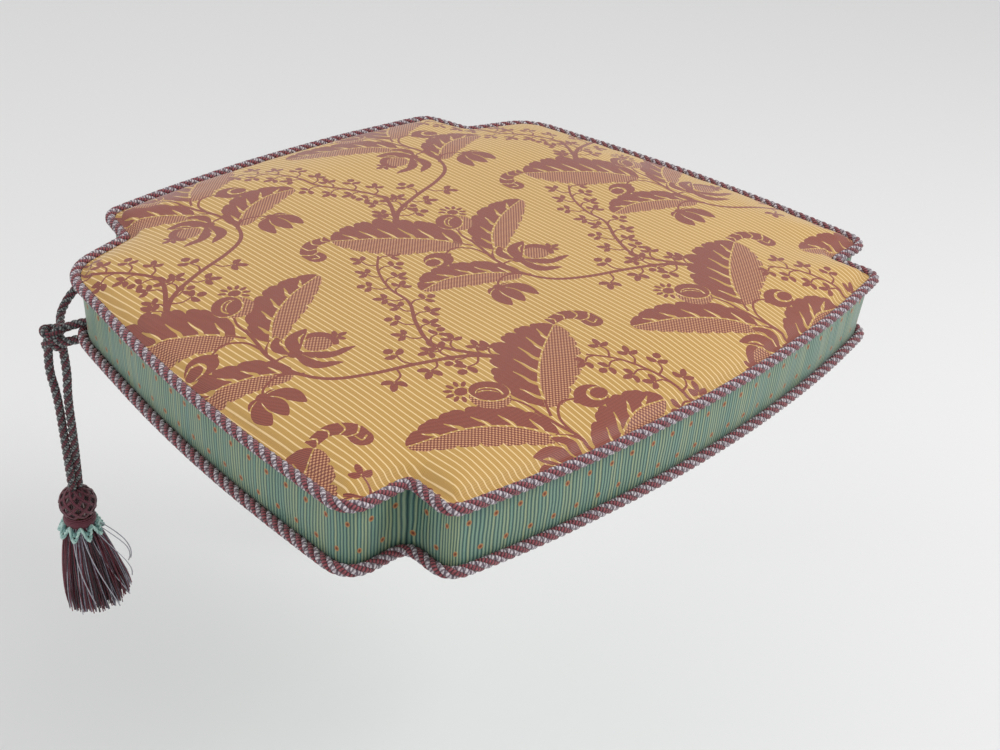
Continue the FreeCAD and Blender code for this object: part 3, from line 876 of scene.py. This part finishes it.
ROW_GAP = 1.6 * MM
RAY = 11 * MM                       # how far out the rays that feel for the pad start
TURNED_IN = 4 * MM                  # of a strip's cloth at each seam
SEAM_HOLD = 5 * MM                  # height in which a seam lets the cloth stand out
SEAM_HALF = 2.2 * MM                # of the dent at an upright seam
SEAM_DENT = 1.1 * MM


def gather(along, height, low, high):
    """How far the cloth stands out where the seams gather it into small flutes."""
    top_fade, low_fade = 13 * MM, 9 * MM
    flute_width, flute_height = 7 * MM, 60 * MM
    pleat_width, pleat_height = 21 * MM, 80 * MM
    near_top = math.exp(-(high - height) / top_fade)
    near_low = math.exp(-(height - low) / low_fade)
    flutes = noise.noise(Vector((along / flute_width, height / flute_height, 3.1)))
    pleats = noise.noise(Vector((along / pleat_width, height / pleat_height, 8.7)))
    return (flutes * (1.1 * near_top + 0.5 * near_low) + 0.9 * pleats) * MM


def boxing_strip(node, first, last, low, high):
    """One strip from rim point first to last, between two heights, seam turnings included."""
    columns = [i % RIM_COUNT for i in range(first, last + 1)]
    rows = max(3, round((high - low) / ROW_GAP))
    heights = np.linspace(low, high, rows + 1)
    points, cloth = [], []
    for height in [low, *heights, high]:
        line = ring(height, SEAM)
        out = outward(line[:, :2])
        turned_in = TURNED_IN if len(points) in (0, (rows + 2) * len(columns)) else 0.0
        hold = float(ease((height - low) / SEAM_HOLD) * ease((high - height) / SEAM_HOLD))
        for k, i in enumerate(columns):
            normal = Vector((*out[i], 0))
            base = Vector(line[i])
            hit = pad_shape.ray_cast(base + normal * RAY, -normal, 2 * RAY)[3]
            swell_out = max(0.0, RAY - hit) if hit else 0.0
            gap = min(k, len(columns) - 1 - k) * STEP
            dent = SEAM_DENT * math.exp(-(gap / SEAM_HALF) ** 2)
            stand = (swell_out + 0.5 * MM + gather(i * STEP, height, low, high) - dent) * hold
            points.append(base + normal * (stand - turned_in))
            cloth.append(((first + k) * STEP, height))
    faces = between_rings(len(columns), rows + 3, closed=False)
    strip = new_piece(node + "_silk", points, faces, boxing_finish)
    layer = strip.data.uv_layers.new(name="cloth")
    for loop in strip.data.loops:
        layer.data[loop.index].uv = cloth[loop.vertex_index]
    strip.modifiers.new("cloth", "SOLIDIFY").thickness = CLOTH
    settle(strip, "pad", "boxing_cloth", node)
    high - low + 2 * TURNED_IN


LIP = 0.8 * MM
low_edge, high_edge = WELT_LOW + LIP / 2, WELT_HIGH - LIP / 2
ZIP_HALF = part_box("boxing_back_upper")[1].x
zip_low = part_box("boxing_back_lower")[1].z
zip_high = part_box("boxing_back_upper")[0].z
zip_right, zip_left = rim_index(ZIP_HALF, EDGE), rim_index(-ZIP_HALF, EDGE)
rear_left, rear_right = rim_index(-REAR_NOTCH[0], REAR_NOTCH[1]), rim_index(*REAR_NOTCH)
front_left = rim_index(-FRONT_NOTCH[0], -FRONT_NOTCH[1])
front_right = rim_index(FRONT_NOTCH[0], -FRONT_NOTCH[1])
for strip in (
        ("boxing_back_left", zip_left, rear_left, low_edge, high_edge),
        ("boxing_left", rear_left, front_left, low_edge, high_edge),
        ("boxing_front", front_left, front_right, low_edge, high_edge),
        ("boxing_right", front_right, rear_right, low_edge, high_edge),
        ("boxing_back_right", rear_right, zip_right + RIM_COUNT, low_edge, high_edge),
        ("boxing_back_upper", zip_right, zip_left, zip_high, high_edge),
        ("boxing_back_lower", zip_right, zip_left, low_edge, zip_low)):
    boxing_strip(*strip)

underside_finish, start = new_finish("green_underside")
place = start.place()
lines = (place.axis(0) * (TURN / PINSTRIPE)).wave()
weave = (place.axis(1) * (TURN / RIB_GAP)).wave()
underside_colour = lines.above(0.2, 1.2).blend(shade(70, 108, 98), shade(142, 176, 154))
cover_with(start, base_color=underside_colour,
           height=lines * (0.05 * MM) + weave * (0.03 * MM), relief=0.5, roughness=0.6,
           sheen_weight=0.2)
UNDER_LEVELS = [          # height, inset and scale, from the middle outwards
    (0.25, 9.6, 0.0), (0.25, 9.6, 0.25), (0.25, 9.6, 0.5), (0.25, 9.6, 0.75), (0.25, 9.6, 0.9),
    (0.25, 9.6, 1.0), (0.8, 7.6, 1.0), (2.2, 5.2, 1.0), (3.6, 3.6, 1.0),
]
rings = [ring(height * MM, inset * MM, max(scale, 0.001))
         for height, inset, scale in UNDER_LEVELS]
under = new_piece("bottom_panel_silk", np.concatenate(rings),
                  between_rings(RIM_COUNT, len(rings)) + [tuple(reversed(range(RIM_COUNT)))],
                  underside_finish)
under.modifiers.new("cloth", "SOLIDIFY").thickness = CLOTH
settle(under, "pad", "underside_cloth", "bottom_panel")


# ---- welts -------------------------------------------------------------------------------
# A four-strand rope of burgundy and silver yarn in each seam, carried by a woven lip that is
# caught between the cloths. Every strand is a wrapped yarn, so it shows small cross ribs.
def new_tree(name, **inputs):
    """An empty Geometry Nodes tree, and the signals of its geometry and other inputs."""
    tree = bpy.data.node_groups.new(name, "GeometryNodeTree")
    for title, kind in {"Geometry": "Geometry", **inputs}.items():
        tree.interface.new_socket(title, in_out="INPUT", socket_type="NodeSocket" + kind)
    tree.interface.new_socket("Geometry", in_out="OUTPUT", socket_type="NodeSocketGeometry")
    given = tree.nodes.new("NodeGroupInput")
    return tree, {socket.name: Signal(tree, socket) for socket in given.outputs}


def store(geometry, name, value):
    """The geometry with a number stored on its points under a name."""
    return geometry.node("GeometryNodeStoreNamedAttribute", {"data_type": "FLOAT"},
                         {"Geometry": geometry, "Name": name, "Value": value})


def tubes_along(lines, profile, finish):
    """Closed tubes of one material along lines."""
    tubes = lines.node("GeometryNodeCurveToMesh", None,
                       {"Curve": lines, "Profile Curve": profile, "Fill Caps": True})
    tubes = lines.node("GeometryNodeRealizeInstances", None, {"Geometry": tubes})
    return lines.node("GeometryNodeSetMaterial", None, {"Geometry": tubes, "Material": finish})


def scaled(vector, amount):
    return vector.node("ShaderNodeVectorMath", {"operation": "SCALE"},
                       {0: vector, "Scale": amount})


def rope_tree():
    """Strands laid round a path: inputs are the path's mesh and the sizes of the rope."""
    tree, given = new_tree("laid_rope", Strands="Int", Turns="Int", Middle="Float",
                           Thickness="Float", Spacing="Float", First="Material",
                           Second="Material")
    start = given["Geometry"]
    path = start.node("GeometryNodeMeshToCurve", None, {"Mesh": start})
    path = start.node("GeometryNodeResampleCurve", {"mode": "LENGTH"},
                      {"Curve": path, "Length": given["Spacing"]})
    parameter = start.node("GeometryNodeSplineParameter")
    path = store(path, "along", start.node("GeometryNodeSplineParameter", output="Length"))
    copies = start.node("GeometryNodeDuplicateElements", {"domain": "SPLINE"},
                        {"Geometry": path, "Amount": given["Strands"]})
    copies = store(copies, "strand", Signal(tree, copies.socket.node.outputs[1]))
    strand = start.node("GeometryNodeInputNamedAttribute", {"data_type": "FLOAT"},
                        {"Name": "strand"})
    angle = (parameter * given["Turns"] + strand / given["Strands"]) * TURN
    normal = start.node("GeometryNodeInputNormal")
    tangent = start.node("GeometryNodeInputTangent")
    sideways = start.node("ShaderNodeVectorMath", {"operation": "CROSS_PRODUCT"},
                          {0: tangent, 1: normal})
    offset = start.node("ShaderNodeVectorMath", {"operation": "ADD"}, {
        0: scaled(normal, angle.maths("COSINE") * given["Middle"]),
        1: scaled(sideways, angle.wave() * given["Middle"])})
    copies = start.node("GeometryNodeSetPosition", None, {"Geometry": copies, "Offset": offset})
    profile = start.node("GeometryNodeCurvePrimitiveCircle", None,
                         {"Resolution": 9, "Radius": given["Thickness"]})
    way_round = parameter * TURN
    profile = store(profile, "round_x", way_round.maths("COSINE"))
    profile = store(profile, "round_y", way_round.wave())
    tubes = tubes_along(copies, profile, given["First"])
    odd = strand.maths("MODULO", 2.0)
    chosen = start.node("FunctionNodeCompare", None, {0: odd, 1: 0.5})
    tubes = start.node("GeometryNodeSetMaterial", None,
                       {"Geometry": tubes, "Selection": chosen, "Material": given["Second"]})
    start.node("NodeGroupOutput", None, {"Geometry": tubes})
    return tree


def run_tree(tree, name, points, edges, tones=None, **inputs):
    """The plain mesh that a Geometry Nodes tree makes of a mesh of loose edges."""
    made = new_piece(name, points, [], edges=edges)
    if tones:
        made.data.attributes.new("tone", "FLOAT", "POINT").data.foreach_set("value", tones)
    run = made.modifiers.new("tree", "NODES")
    run.node_group = tree
    for item in tree.interface.items_tree:
        if item.in_out == "INPUT" and item.name in inputs:
            run[item.identifier] = inputs[item.name]
    done = evaluated_mesh(made)
    made.modifiers.clear()
    made.data = done
    done.shade_smooth()
    return made


def length_along(points):
    return float(np.linalg.norm(np.diff(points, axis=0), axis=1).sum())


LAID_ROPE = rope_tree()
LAY = 3.0               # length of one turn of a strand, in rope diameters
FOUR = (0.586, 0.46)    # a strand's distance from the middle, and its radius, in rope radii


def lay_rope(name, path, diameter, finishes, closed=False, spacing=1.5 * MM, strands=4,
             lay=LAY, shape=FOUR):
    """Rope of alternating strands along a path, as one mesh."""
    path = np.array([tuple(point) for point in path])
    count = len(path)
    edges = [(i, (i + 1) % count) for i in range(count if closed else count - 1)]
    length = length_along(np.vstack((path, path[:1])) if closed else path)
    return run_tree(LAID_ROPE, name, path, edges, Strands=strands,
                    Turns=max(1, round(length / (lay * diameter))),
                    Middle=shape[0] * diameter / 2, Thickness=shape[1] * diameter / 2,
                    Spacing=spacing, First=finishes[0], Second=finishes[1])


RIB = 1.5 * MM          # between the cross ribs of a wrapped strand


def yarn_finish(name, dark, light, fleck=None):
    """Wrapped yarn: ribs with a painted highlight on their crests and painted shade in the gaps,
    and dark flecks on the silver one.
    """
    finish, start = new_finish(name)
    x = start.stored("round_x")
    y = start.stored("round_y")
    turn = start.stored("along") * (TURN / RIB)
    ribs = turn.wave() * x + turn.maths("COSINE") * y
    hairs = start.place().texture(900.0, Detail=2.0)
    # The light colour is a painted highlight on the rib crests and the dark one is painted shade in
    # the gaps; both follow the ribs' bump.
    colour = ribs.above(-0.25, 0.9).blend(dark, light)
    colour = hairs.above(0.62, 0.25).blend(colour, dark)
    if fleck:
        across = turn * 0.5
        checks = across.wave() * y + across.maths("COSINE") * x
        colour = checks.above(0.55, 0.3).blend(colour, fleck)
    cover_with(start, base_color=colour, height=ribs * (0.16 * MM) + hairs * (0.1 * MM),
               relief=0.9, roughness=0.55, sheen_weight=0.2)
    return finish


WELT_FINISHES = (
    yarn_finish("burgundy_yarn", shade(58, 16, 28), shade(146, 68, 76)),
    yarn_finish("silver_yarn", shade(112, 98, 108), shade(206, 198, 202), shade(92, 78, 88)),
)
WANDER = 0.35 * MM
WANDERS = 22                    # in a metre
for node, height, rim in (("top_welt_rope", WELT_HIGH, RIM),
                          ("bottom_welt_rope", WELT_LOW, RIM_LOW)):
    path = [(x, y, height + WANDER * noise.noise(Vector((x, y, height)) * WANDERS))
            for x, y in rim]
    welt = lay_rope(node + "_laid", path, 2 * WELT_RADIUS, WELT_FINISHES, closed=True)
    settle(welt, "pad", "welt_rope", node)

lip_finish = mottled_finish("woven_lip", (1200.0, "Voronoi", {}), (88, 66, 60), (150, 126, 106),
                            0.1 * MM, 0.6, roughness=0.85)
LIP_REACH = 8.5 * MM
for node, height in (("top_welt_lip", WELT_HIGH), ("bottom_welt_lip", WELT_LOW)):
    near, far = ring(height, WELT_RADIUS * 0.6), ring(height, LIP_REACH)
    rings = [near, far, far + (0, 0, LIP), near + (0, 0, LIP)]
    points = np.concatenate(rings) - (0, 0, LIP / 2)
    last = 3 * RIM_COUNT
    faces = between_rings(RIM_COUNT, 4)
    faces += [(last + i, last + (i + 1) % RIM_COUNT, (i + 1) % RIM_COUNT, i)
              for i in range(RIM_COUNT)]
    lip = new_piece(node + "_tape", points, [face[::-1] for face in faces], lip_finish)
    settle(lip, "pad", "lip_tape", node)


# ---- zip ---------------------------------------------------------------------------------
# A nylon coil zip between the two back strips: woven tapes, two closed coils, a brass slider
# with its pull, and two crimped stops. Two rows of stitches hold each strip to its tape.
tape_finish, start = new_finish("herringbone_tape")
RIDGE_GAP = 1.0 * MM
ZIGZAG_HEIGHT = 2.4 * MM
place = start.place()
zigzag = (place.axis(2) / ZIGZAG_HEIGHT).maths("PINGPONG", 0.5)
herring = ((place.axis(0) / RIDGE_GAP + zigzag * 2) * TURN).wave()
tape_colour = herring.above(0, 1.4).blend(shade(58, 88, 78), shade(104, 138, 122))
cover_with(start, base_color=tape_colour, height=herring * (0.06 * MM), relief=0.7,
           roughness=0.75)
dress(["zip_tape_upper", "zip_tape_lower"], tape_finish)

brass_finish, start = new_finish("aged_brass")
wear = start.place().texture(420.0, Detail=5.0)
cover_with(start, base_color=wear.blend(shade(122, 92, 46), shade(214, 178, 104)),
           height=wear * (0.05 * MM), relief=0.4, roughness=0.22 + wear * 0.3, metallic=1.0)
BRASS_NODES = ("zip_slider", "zip_pull", "zip_stops")
dress(BRASS_NODES, brass_finish)
for name in BRASS_NODES:
    soften = NODES[name].modifiers.new("worn_edges", "BEVEL")
    soften.width = 0.12 * MM
    soften.segments = 2

coil_finish = mottled_finish("nylon_coil", (300.0, "Noise", {}), (44, 72, 62), (88, 120, 104),
                             roughness=0.3)
BACK_CENTRE = EDGE - BACK_RADIUS      # middle of the back edge's arc
COIL_WIRE = (0.74, 0.26)            # as in lay_rope, for one strand
for node in ("zip_coil_upper", "zip_coil_lower"):
    low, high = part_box(node)
    size = high.z - low.z
    radius = high.y - size / 2 - BACK_CENTRE
    path = [(x, BACK_CENTRE + math.sqrt(radius ** 2 - x ** 2), (low.z + high.z) / 2)
            for x in np.linspace(low.x, high.x, 300)]
    coil = lay_rope(node + "_wound", path, size * 0.95, (coil_finish, coil_finish),
                    spacing=0.13 * MM, strands=1, lay=0.68, shape=COIL_WIRE)
    settle(coil, "pad", "zip_coil", node)


def thread_tree():
    """Tubes along loose lines: inputs are the lines' mesh, the tube's radius and sides."""
    tree, given = new_tree("threads", Radius="Float", Sides="Int", Finish="Material")
    start = given["Geometry"]
    lines = start.node("GeometryNodeMeshToCurve", None, {"Mesh": start})
    profile = start.node("GeometryNodeCurvePrimitiveCircle", None,
                         {"Resolution": given["Sides"], "Radius": given["Radius"]})
    start.node("NodeGroupOutput", None,
               {"Geometry": tubes_along(lines, profile, given["Finish"])})
    return tree


THREADS = thread_tree()


def threads(name, lines, radius, facets, finish, tones=None):
    """One mesh of thin round yarns along lines; a tone from 0 to 1 varies their colour."""
    points, edges, values = [], [], []
    for k, line in enumerate(lines):
        first = len(points)
        points += [tuple(point) for point in line]
        edges += [(i, i + 1) for i in range(first, len(points) - 1)]
        values += [tones[k] if tones else 0.5] * len(line)
    return run_tree(THREADS, name, points, edges, values, Radius=radius, Sides=facets,
                    Finish=finish)


STREAKS = 600.0         # in a metre


def toned_finish(name, stops, roughness=0.55):
    """Yarn whose colour follows each thread's tone, with finer streaks along it."""
    finish, start = new_finish(name)
    streaks = start.place().texture(STREAKS)
    colour = start.node("ShaderNodeValToRGB", {"stops": stops},
                        {"Fac": start.stored("tone") + (streaks - 0.5) * 0.3})
    cover_with(start, base_color=colour, height=streaks * (0.2 * MM), relief=0.6,
               roughness=roughness, sheen_weight=0.15)
    return finish


STITCH = (2.0 * MM, 3.2 * MM)       # length of a stitch, and from one stitch to the next
stitch_finish = toned_finish("stitch_thread", [(0.0, shade(70, 100, 88)),
                                               (1.0, shade(128, 160, 140))])
stitches = []
FROM_EDGE = 3 * MM                  # of the row of stitches from the cloth's fold
for name, height in (("boxing_back_upper_silk", zip_high + FROM_EDGE),
                     ("boxing_back_lower_silk", zip_low - FROM_EDGE)):
    cloth = tree_of(bpy.data.objects[name])
    for x in np.arange(-ZIP_HALF + 3 * MM, ZIP_HALF - 4 * MM, STITCH[1]):
        line = []
        for k, lift in enumerate((-0.2, 0.25, 0.3, 0.25, -0.2)):
            outside = Vector((x + k * STITCH[0] / 4, EDGE + RAY, height))
            hit = cloth.ray_cast(outside, Vector((0, -1, 0)))[0]
            line.append(hit + Vector((0, lift * MM, 0)))
        stitches.append(line)
zip_stitches = threads("zip_stitches", stitches, 0.28 * MM, 6, stitch_finish)
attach(zip_stitches, "pad")


# ---- ties --------------------------------------------------------------------------------
# A rope from each side's boxing, round the chair's back post and home to the rear lobe. It is
# caught in a wound knot with a second turn of rope, and sewn to tape tabs inside the boxing.
TIE_LOOK = 6.1 * MM              # over the loose fibres of its strands
TIE_ROUTE = [
    (-0.2129, 0.1429, 0.0114), (-0.2240, 0.1510, 0.0090), (-0.2330, 0.1590, 0.0020),
    (-0.2260, 0.1730, -0.0090), (-0.2110, 0.1880, -0.0170), (-0.2030, 0.2060, -0.0160),
    (-0.1900, 0.2140, -0.0080), (-0.1780, 0.2110, 0.0020), (-0.1645, 0.2000, 0.0108),
    (-0.1549, 0.1870, 0.0113),
]
KNOT = Vector((-0.2330, 0.1570, 0.0))
KNOT_TURNS = [          # along the tie, towards the front, and up, in millimetres
    (-24.0, 2.5, 3.0), (-15.0, 4.0, 0.5), (-7.0, 5.2, -0.5), (0.0, 5.8, 1.5), (5.2, 4.0, 4.8),
    (6.6, -1.2, 5.2), (3.4, -5.2, 3.6), (-2.8, -5.4, 4.4), (-6.0, -1.4, 6.2), (-2.4, 3.6, 6.4),
    (3.6, 5.6, 0.4), (6.2, 2.4, -5.0), (2.4, -3.2, -6.6), (-3.2, -4.8, -4.2), (-5.0, -1.0, -5.6),
    (-2.0, 4.4, -5.4), (2.4, 2.0, -1.6),
]
TIE_FINISHES = (
    yarn_finish("dark_burgundy_yarn", shade(26, 4, 14), shade(104, 26, 44)),
    yarn_finish("smoke_yarn", shade(40, 42, 46), shade(138, 144, 142), shade(34, 26, 34)),
)
tab_finish = mottled_finish("tab_tape", (1300.0, "Voronoi", {}), (150, 140, 120),
                            (206, 198, 178), 0.1 * MM, 0.6, roughness=0.85)
dress(["tie_anchors_left", "tie_anchors_right"], tab_finish)


def smooth_route(name, route):
    """Points along the smooth line that a route's points steer."""
    data = bpy.data.curves.new(name, "CURVE")
    data.dimensions = "3D"
    data.resolution_u = 16
    spline = data.splines.new("NURBS")
    spline.points.add(len(route) - 1)
    for point, place in zip(spline.points, route):
        point.co = (*place, 1.0)
    spline.order_u = 3
    spline.use_endpoint_u = True
    holder = new_object(name, data)
    points = coordinates(evaluated_mesh(holder))
    bpy.data.objects.remove(holder)
    return points


SIDES = {"left": np.array((1, 1, 1)), "right": np.array((-1, 1, 1))}
along_tie = Vector((-20, 16, 0)).normalized()
to_front = Vector((-along_tie.y, along_tie.x, 0))
for side, flip in SIDES.items():
    turns = [KNOT + (along_tie * a + to_front * b + Vector((0, 0, c))) * MM
             for a, b, c in KNOT_TURNS]
    path = curve(*[tuple(point) for point in turns], gap=1.0 * MM) * flip
    knot = lay_rope("tie_knot_" + side + "_wound", path, TIE_LOOK, TIE_FINISHES,
                    spacing=1.0 * MM)
    settle(knot, "pad", "tie_rope", "tie_knot_" + side)
    path = smooth_route("tie_line", np.array(TIE_ROUTE) * flip)
    tie = lay_rope("tie_rope_" + side, path, TIE_LOOK, TIE_FINISHES, spacing=1.2 * MM)
    settle(tie, "pad", "tie_rope", "tie_cord_" + side)
    tuple(path[0])
    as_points(path)


# ---- tassels -----------------------------------------------------------------------------
# Two ropes hang from the knot to a turned wooden mould under a netted yarn cover. Below it are
# a wound neck, a looped blue-green ruff and a skirt of several hundred threads.
OUTER_ROUTE = [
    (-0.2360, 0.1603, -0.0020), (-0.2384, 0.1630, -0.0220), (-0.2357, 0.1600, -0.0460),
    (-0.2353, 0.1592, -0.0780), (-0.2357, 0.1574, -0.1040), (-0.2359, 0.1566, -0.1256),
    (-0.2350, 0.1570, -0.1330),
]
INNER_ROUTE = [
    (-0.2304, 0.1541, -0.0020), (-0.2294, 0.1527, -0.0240), (-0.2309, 0.1550, -0.0480),
    (-0.2304, 0.1552, -0.0780), (-0.2299, 0.1569, -0.1040), (-0.2301, 0.1574, -0.1256),
    (-0.2310, 0.1570, -0.1330),
]
TASSEL_TOP = -125.6             # millimetres, as are the drops and radii of this section
HEAD_RADIUS = 13.0
HEAD_CENTRE = 13.2
NECK_TOP, NECK_LOW = 23.0, 31.0
SKIRT_LOW = 106.0
LEAN = 5.0                      # how far the skirt's end leans to one side
FULL_SIDE = -0.84               # angle at which the skirt flares most, in radians
SKIRT_THREADS = 900
UPRIGHTS = 44                   # yarns round the head
NET_YARNS = 9                   # that slant each way over them, of three plies each
wood_finish, start = new_finish("turned_beech")
grain = start.node("ShaderNodeTexWave", {"wave_type": "RINGS"},
                   {"Vector": start.place(), "Scale": 60.0, "Distortion": 6.0, "Detail": 3.0},
                   output=1)
cover_with(start, base_color=grain.blend(shade(176, 128, 84), shade(222, 184, 138)),
           height=grain * (0.1 * MM), relief=0.3, roughness=0.5)
dress(["tassel_mould_left", "tassel_mould_right"], wood_finish)
head_finish = toned_finish("head_yarn", [(0.0, shade(24, 4, 14)), (0.45, shade(72, 14, 32)),
                                         (0.7, shade(104, 36, 54)), (1.0, shade(126, 112, 112))])
ruff_finish = toned_finish("ruff_gimp", [(0.0, shade(52, 92, 94)), (0.5, shade(112, 154, 150)),
                                         (1.0, shade(178, 208, 200))])
skirt_finish = toned_finish("skirt_threads", [
    (0.0, shade(16, 8, 22)), (0.25, shade(42, 6, 24)), (0.5, shade(92, 10, 34)),
    (0.7, shade(118, 22, 46)), (0.85, shade(108, 104, 120)), (1.0, shade(172, 170, 180))],
    roughness=0.4)


def round_tassel(turn, radius, drop):
    """A point of the left tassel, from its angle, radius and drop."""
    return (KNOT.x + radius * math.cos(turn) * MM, KNOT.y + radius * math.sin(turn) * MM,
            (TASSEL_TOP - drop) * MM)


def head_lines():
    """Close upright yarns under a net of slanting ones, each with its tone."""
    for k in range(UPRIGHTS):
        yield [round_tassel(TURN * k / UPRIGHTS, (HEAD_RADIUS - 1.0) * math.sin(t),
                            HEAD_CENTRE - (HEAD_RADIUS - 1.0) * math.cos(t))
               for t in np.linspace(0.2, 2.3, 16)], 1.0 if k % 4 == 0 else 0.1
    for hand in (1, -1):
        for k in range(NET_YARNS):
            for ply, pair in enumerate((-0.09, 0.0, 0.09)):
                yield [round_tassel(TURN * k / NET_YARNS + hand * (1.05 * t + 0.1) + pair,
                                    (HEAD_RADIUS + 0.25 * hand * math.sin(TURN * t * 1.2))
                                    * math.sin(t),
                                    HEAD_CENTRE - (HEAD_RADIUS + 0.25 * hand) * math.cos(t))
                       for t in np.linspace(0.22, 2.25, 22)], (0.4, 0.68, 0.52)[ply]


def neck_lines():
    """The wound neck: turns of yarn that swell in the middle."""
    turns = 7
    steps = np.linspace(0, 1, turns * 28)
    for layer, tone in ((0.0, 0.35), (1.1, 0.6)):
        yield [round_tassel(TURN * turns * t + layer,
                            9.0 + layer * 0.5 + 1.7 * math.sin(math.pi * t),
                            NECK_TOP + (NECK_LOW - NECK_TOP) * t) for t in steps], tone


def ruff_lines():
    """A wavy gimp of three thick plies, over a flatter one."""
    for loops, drop, radius, high, out, tone in ((9, 30.0, 12.0, 8.4, 3.6, 0.3),
                                                 (9, 31.0, 11.0, 4.0, 1.5, -0.1)):
        for ply in range(3):
            line = []
            for t in np.linspace(0, 1, loops * 20 + 1):
                wave = (1 - math.cos(TURN * t * loops)) / 2
                twist = TURN * (t * loops * 3 + ply / 3)
                line.append(round_tassel(TURN * t,
                                         radius + out * wave + 1.05 * math.cos(twist),
                                         drop + high * wave + 1.05 * math.sin(twist)))
            yield line, (0.35, 0.6, 0.75)[ply] + tone


def hanging_thread(turn, depth, low, sway, swirl):
    """One thread from the neck down, which leans and flares with the skirt."""
    lean = Vector((0.67, -0.74)) * LEAN
    flare = 0.55 + 0.45 * math.cos(turn - FULL_SIDE)
    line = []
    for t in np.linspace(0, 1, 11):
        radius = depth * (9.8 + (12.0 + 6.0 * flare) * t ** 0.75 - 20.0 * max(0.0, t - 0.85) ** 1.5)
        x, y, z = round_tassel(turn + swirl * t, radius + sway * math.sin(3.0 * t),
                               NECK_LOW + (low - NECK_LOW) * t)
        line.append((x + lean.x * t ** 1.3 * MM, y + lean.y * t ** 1.3 * MM, z))
    return line


def skirt_lines():
    """Threads that leave the neck close together and part as they hang."""
    draw = random.Random(7)
    for _ in range(SKIRT_THREADS):
        turn = draw.uniform(0, TURN)
        depth = math.sqrt(draw.uniform(0.06, 1.0))
        side_lift = 5.0 * (1 + math.cos(turn - FULL_SIDE)) * depth
        low = SKIRT_LOW + draw.uniform(-5.0, 1.0) - side_lift
        tone = draw.choice((0.0, 0.12, 0.25, 0.35, 0.45, 0.5, 0.55, 0.62, 0.7, 0.86))
        if depth > 0.9 and draw.random() < 0.3:
            tone = draw.uniform(0.85, 1.0)
        yield hanging_thread(turn, depth, low, draw.uniform(-1.6, 1.6),
                             draw.uniform(-0.22, 0.22)), tone
    for stray in ((-1.3, 1.05, 92.0, 3.5, 1.0), (-0.9, 1.1, 84.0, 4.5, 0.9),
                  (-1.7, 1.04, 97.0, -2.0, 0.8), (-2.6, 1.05, 90.0, 2.5, 0.5),
                  (-0.6, 1.12, 80.0, 5.0, 0.5), (-2.1, 1.04, 99.0, 2.0, 0.7)):
        yield hanging_thread(*stray), 1.0


TASSEL_PARTS = (
    ("tassel_head_cover", head_lines, 0.62 * MM, 6, head_finish, "tassel_yarn"),
    ("tassel_neck_band", neck_lines, 0.7 * MM, 6, head_finish, "tassel_yarn"),
    ("tassel_ruff", ruff_lines, 0.8 * MM, 7, ruff_finish, "ruff_yarn"),
    ("tassel_skirt", skirt_lines, 0.42 * MM, 4, skirt_finish, "skirt_thread"),
)
for side, flip in SIDES.items():
    body = "tassel_" + side
    parts = []
    for node, make_lines, radius, facets, finish, slot in TASSEL_PARTS:
        drawn = list(make_lines())
        part = threads(f"{node}_{side}_yarn", [np.array(line) * flip for line, _ in drawn],
                       radius, facets, finish, [tone for _, tone in drawn])
        settle(part, body, slot, f"{node}_{side}")
        parts.append(part)
    for name, route, carried in (("outer", OUTER_ROUTE, parts), ("inner", INNER_ROUTE, parts[:1])):
        path = smooth_route("tassel_line", np.array(route) * flip)
        rope = lay_rope(f"tassel_cord_{name}_{side}_laid", path, TIE_LOOK, TIE_FINISHES,
                        spacing=1.2 * MM)
        settle(rope, body, "tie_rope", f"tassel_cord_{name}_{side}")
        tuple(path[0])
        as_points(path)
        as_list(carried)
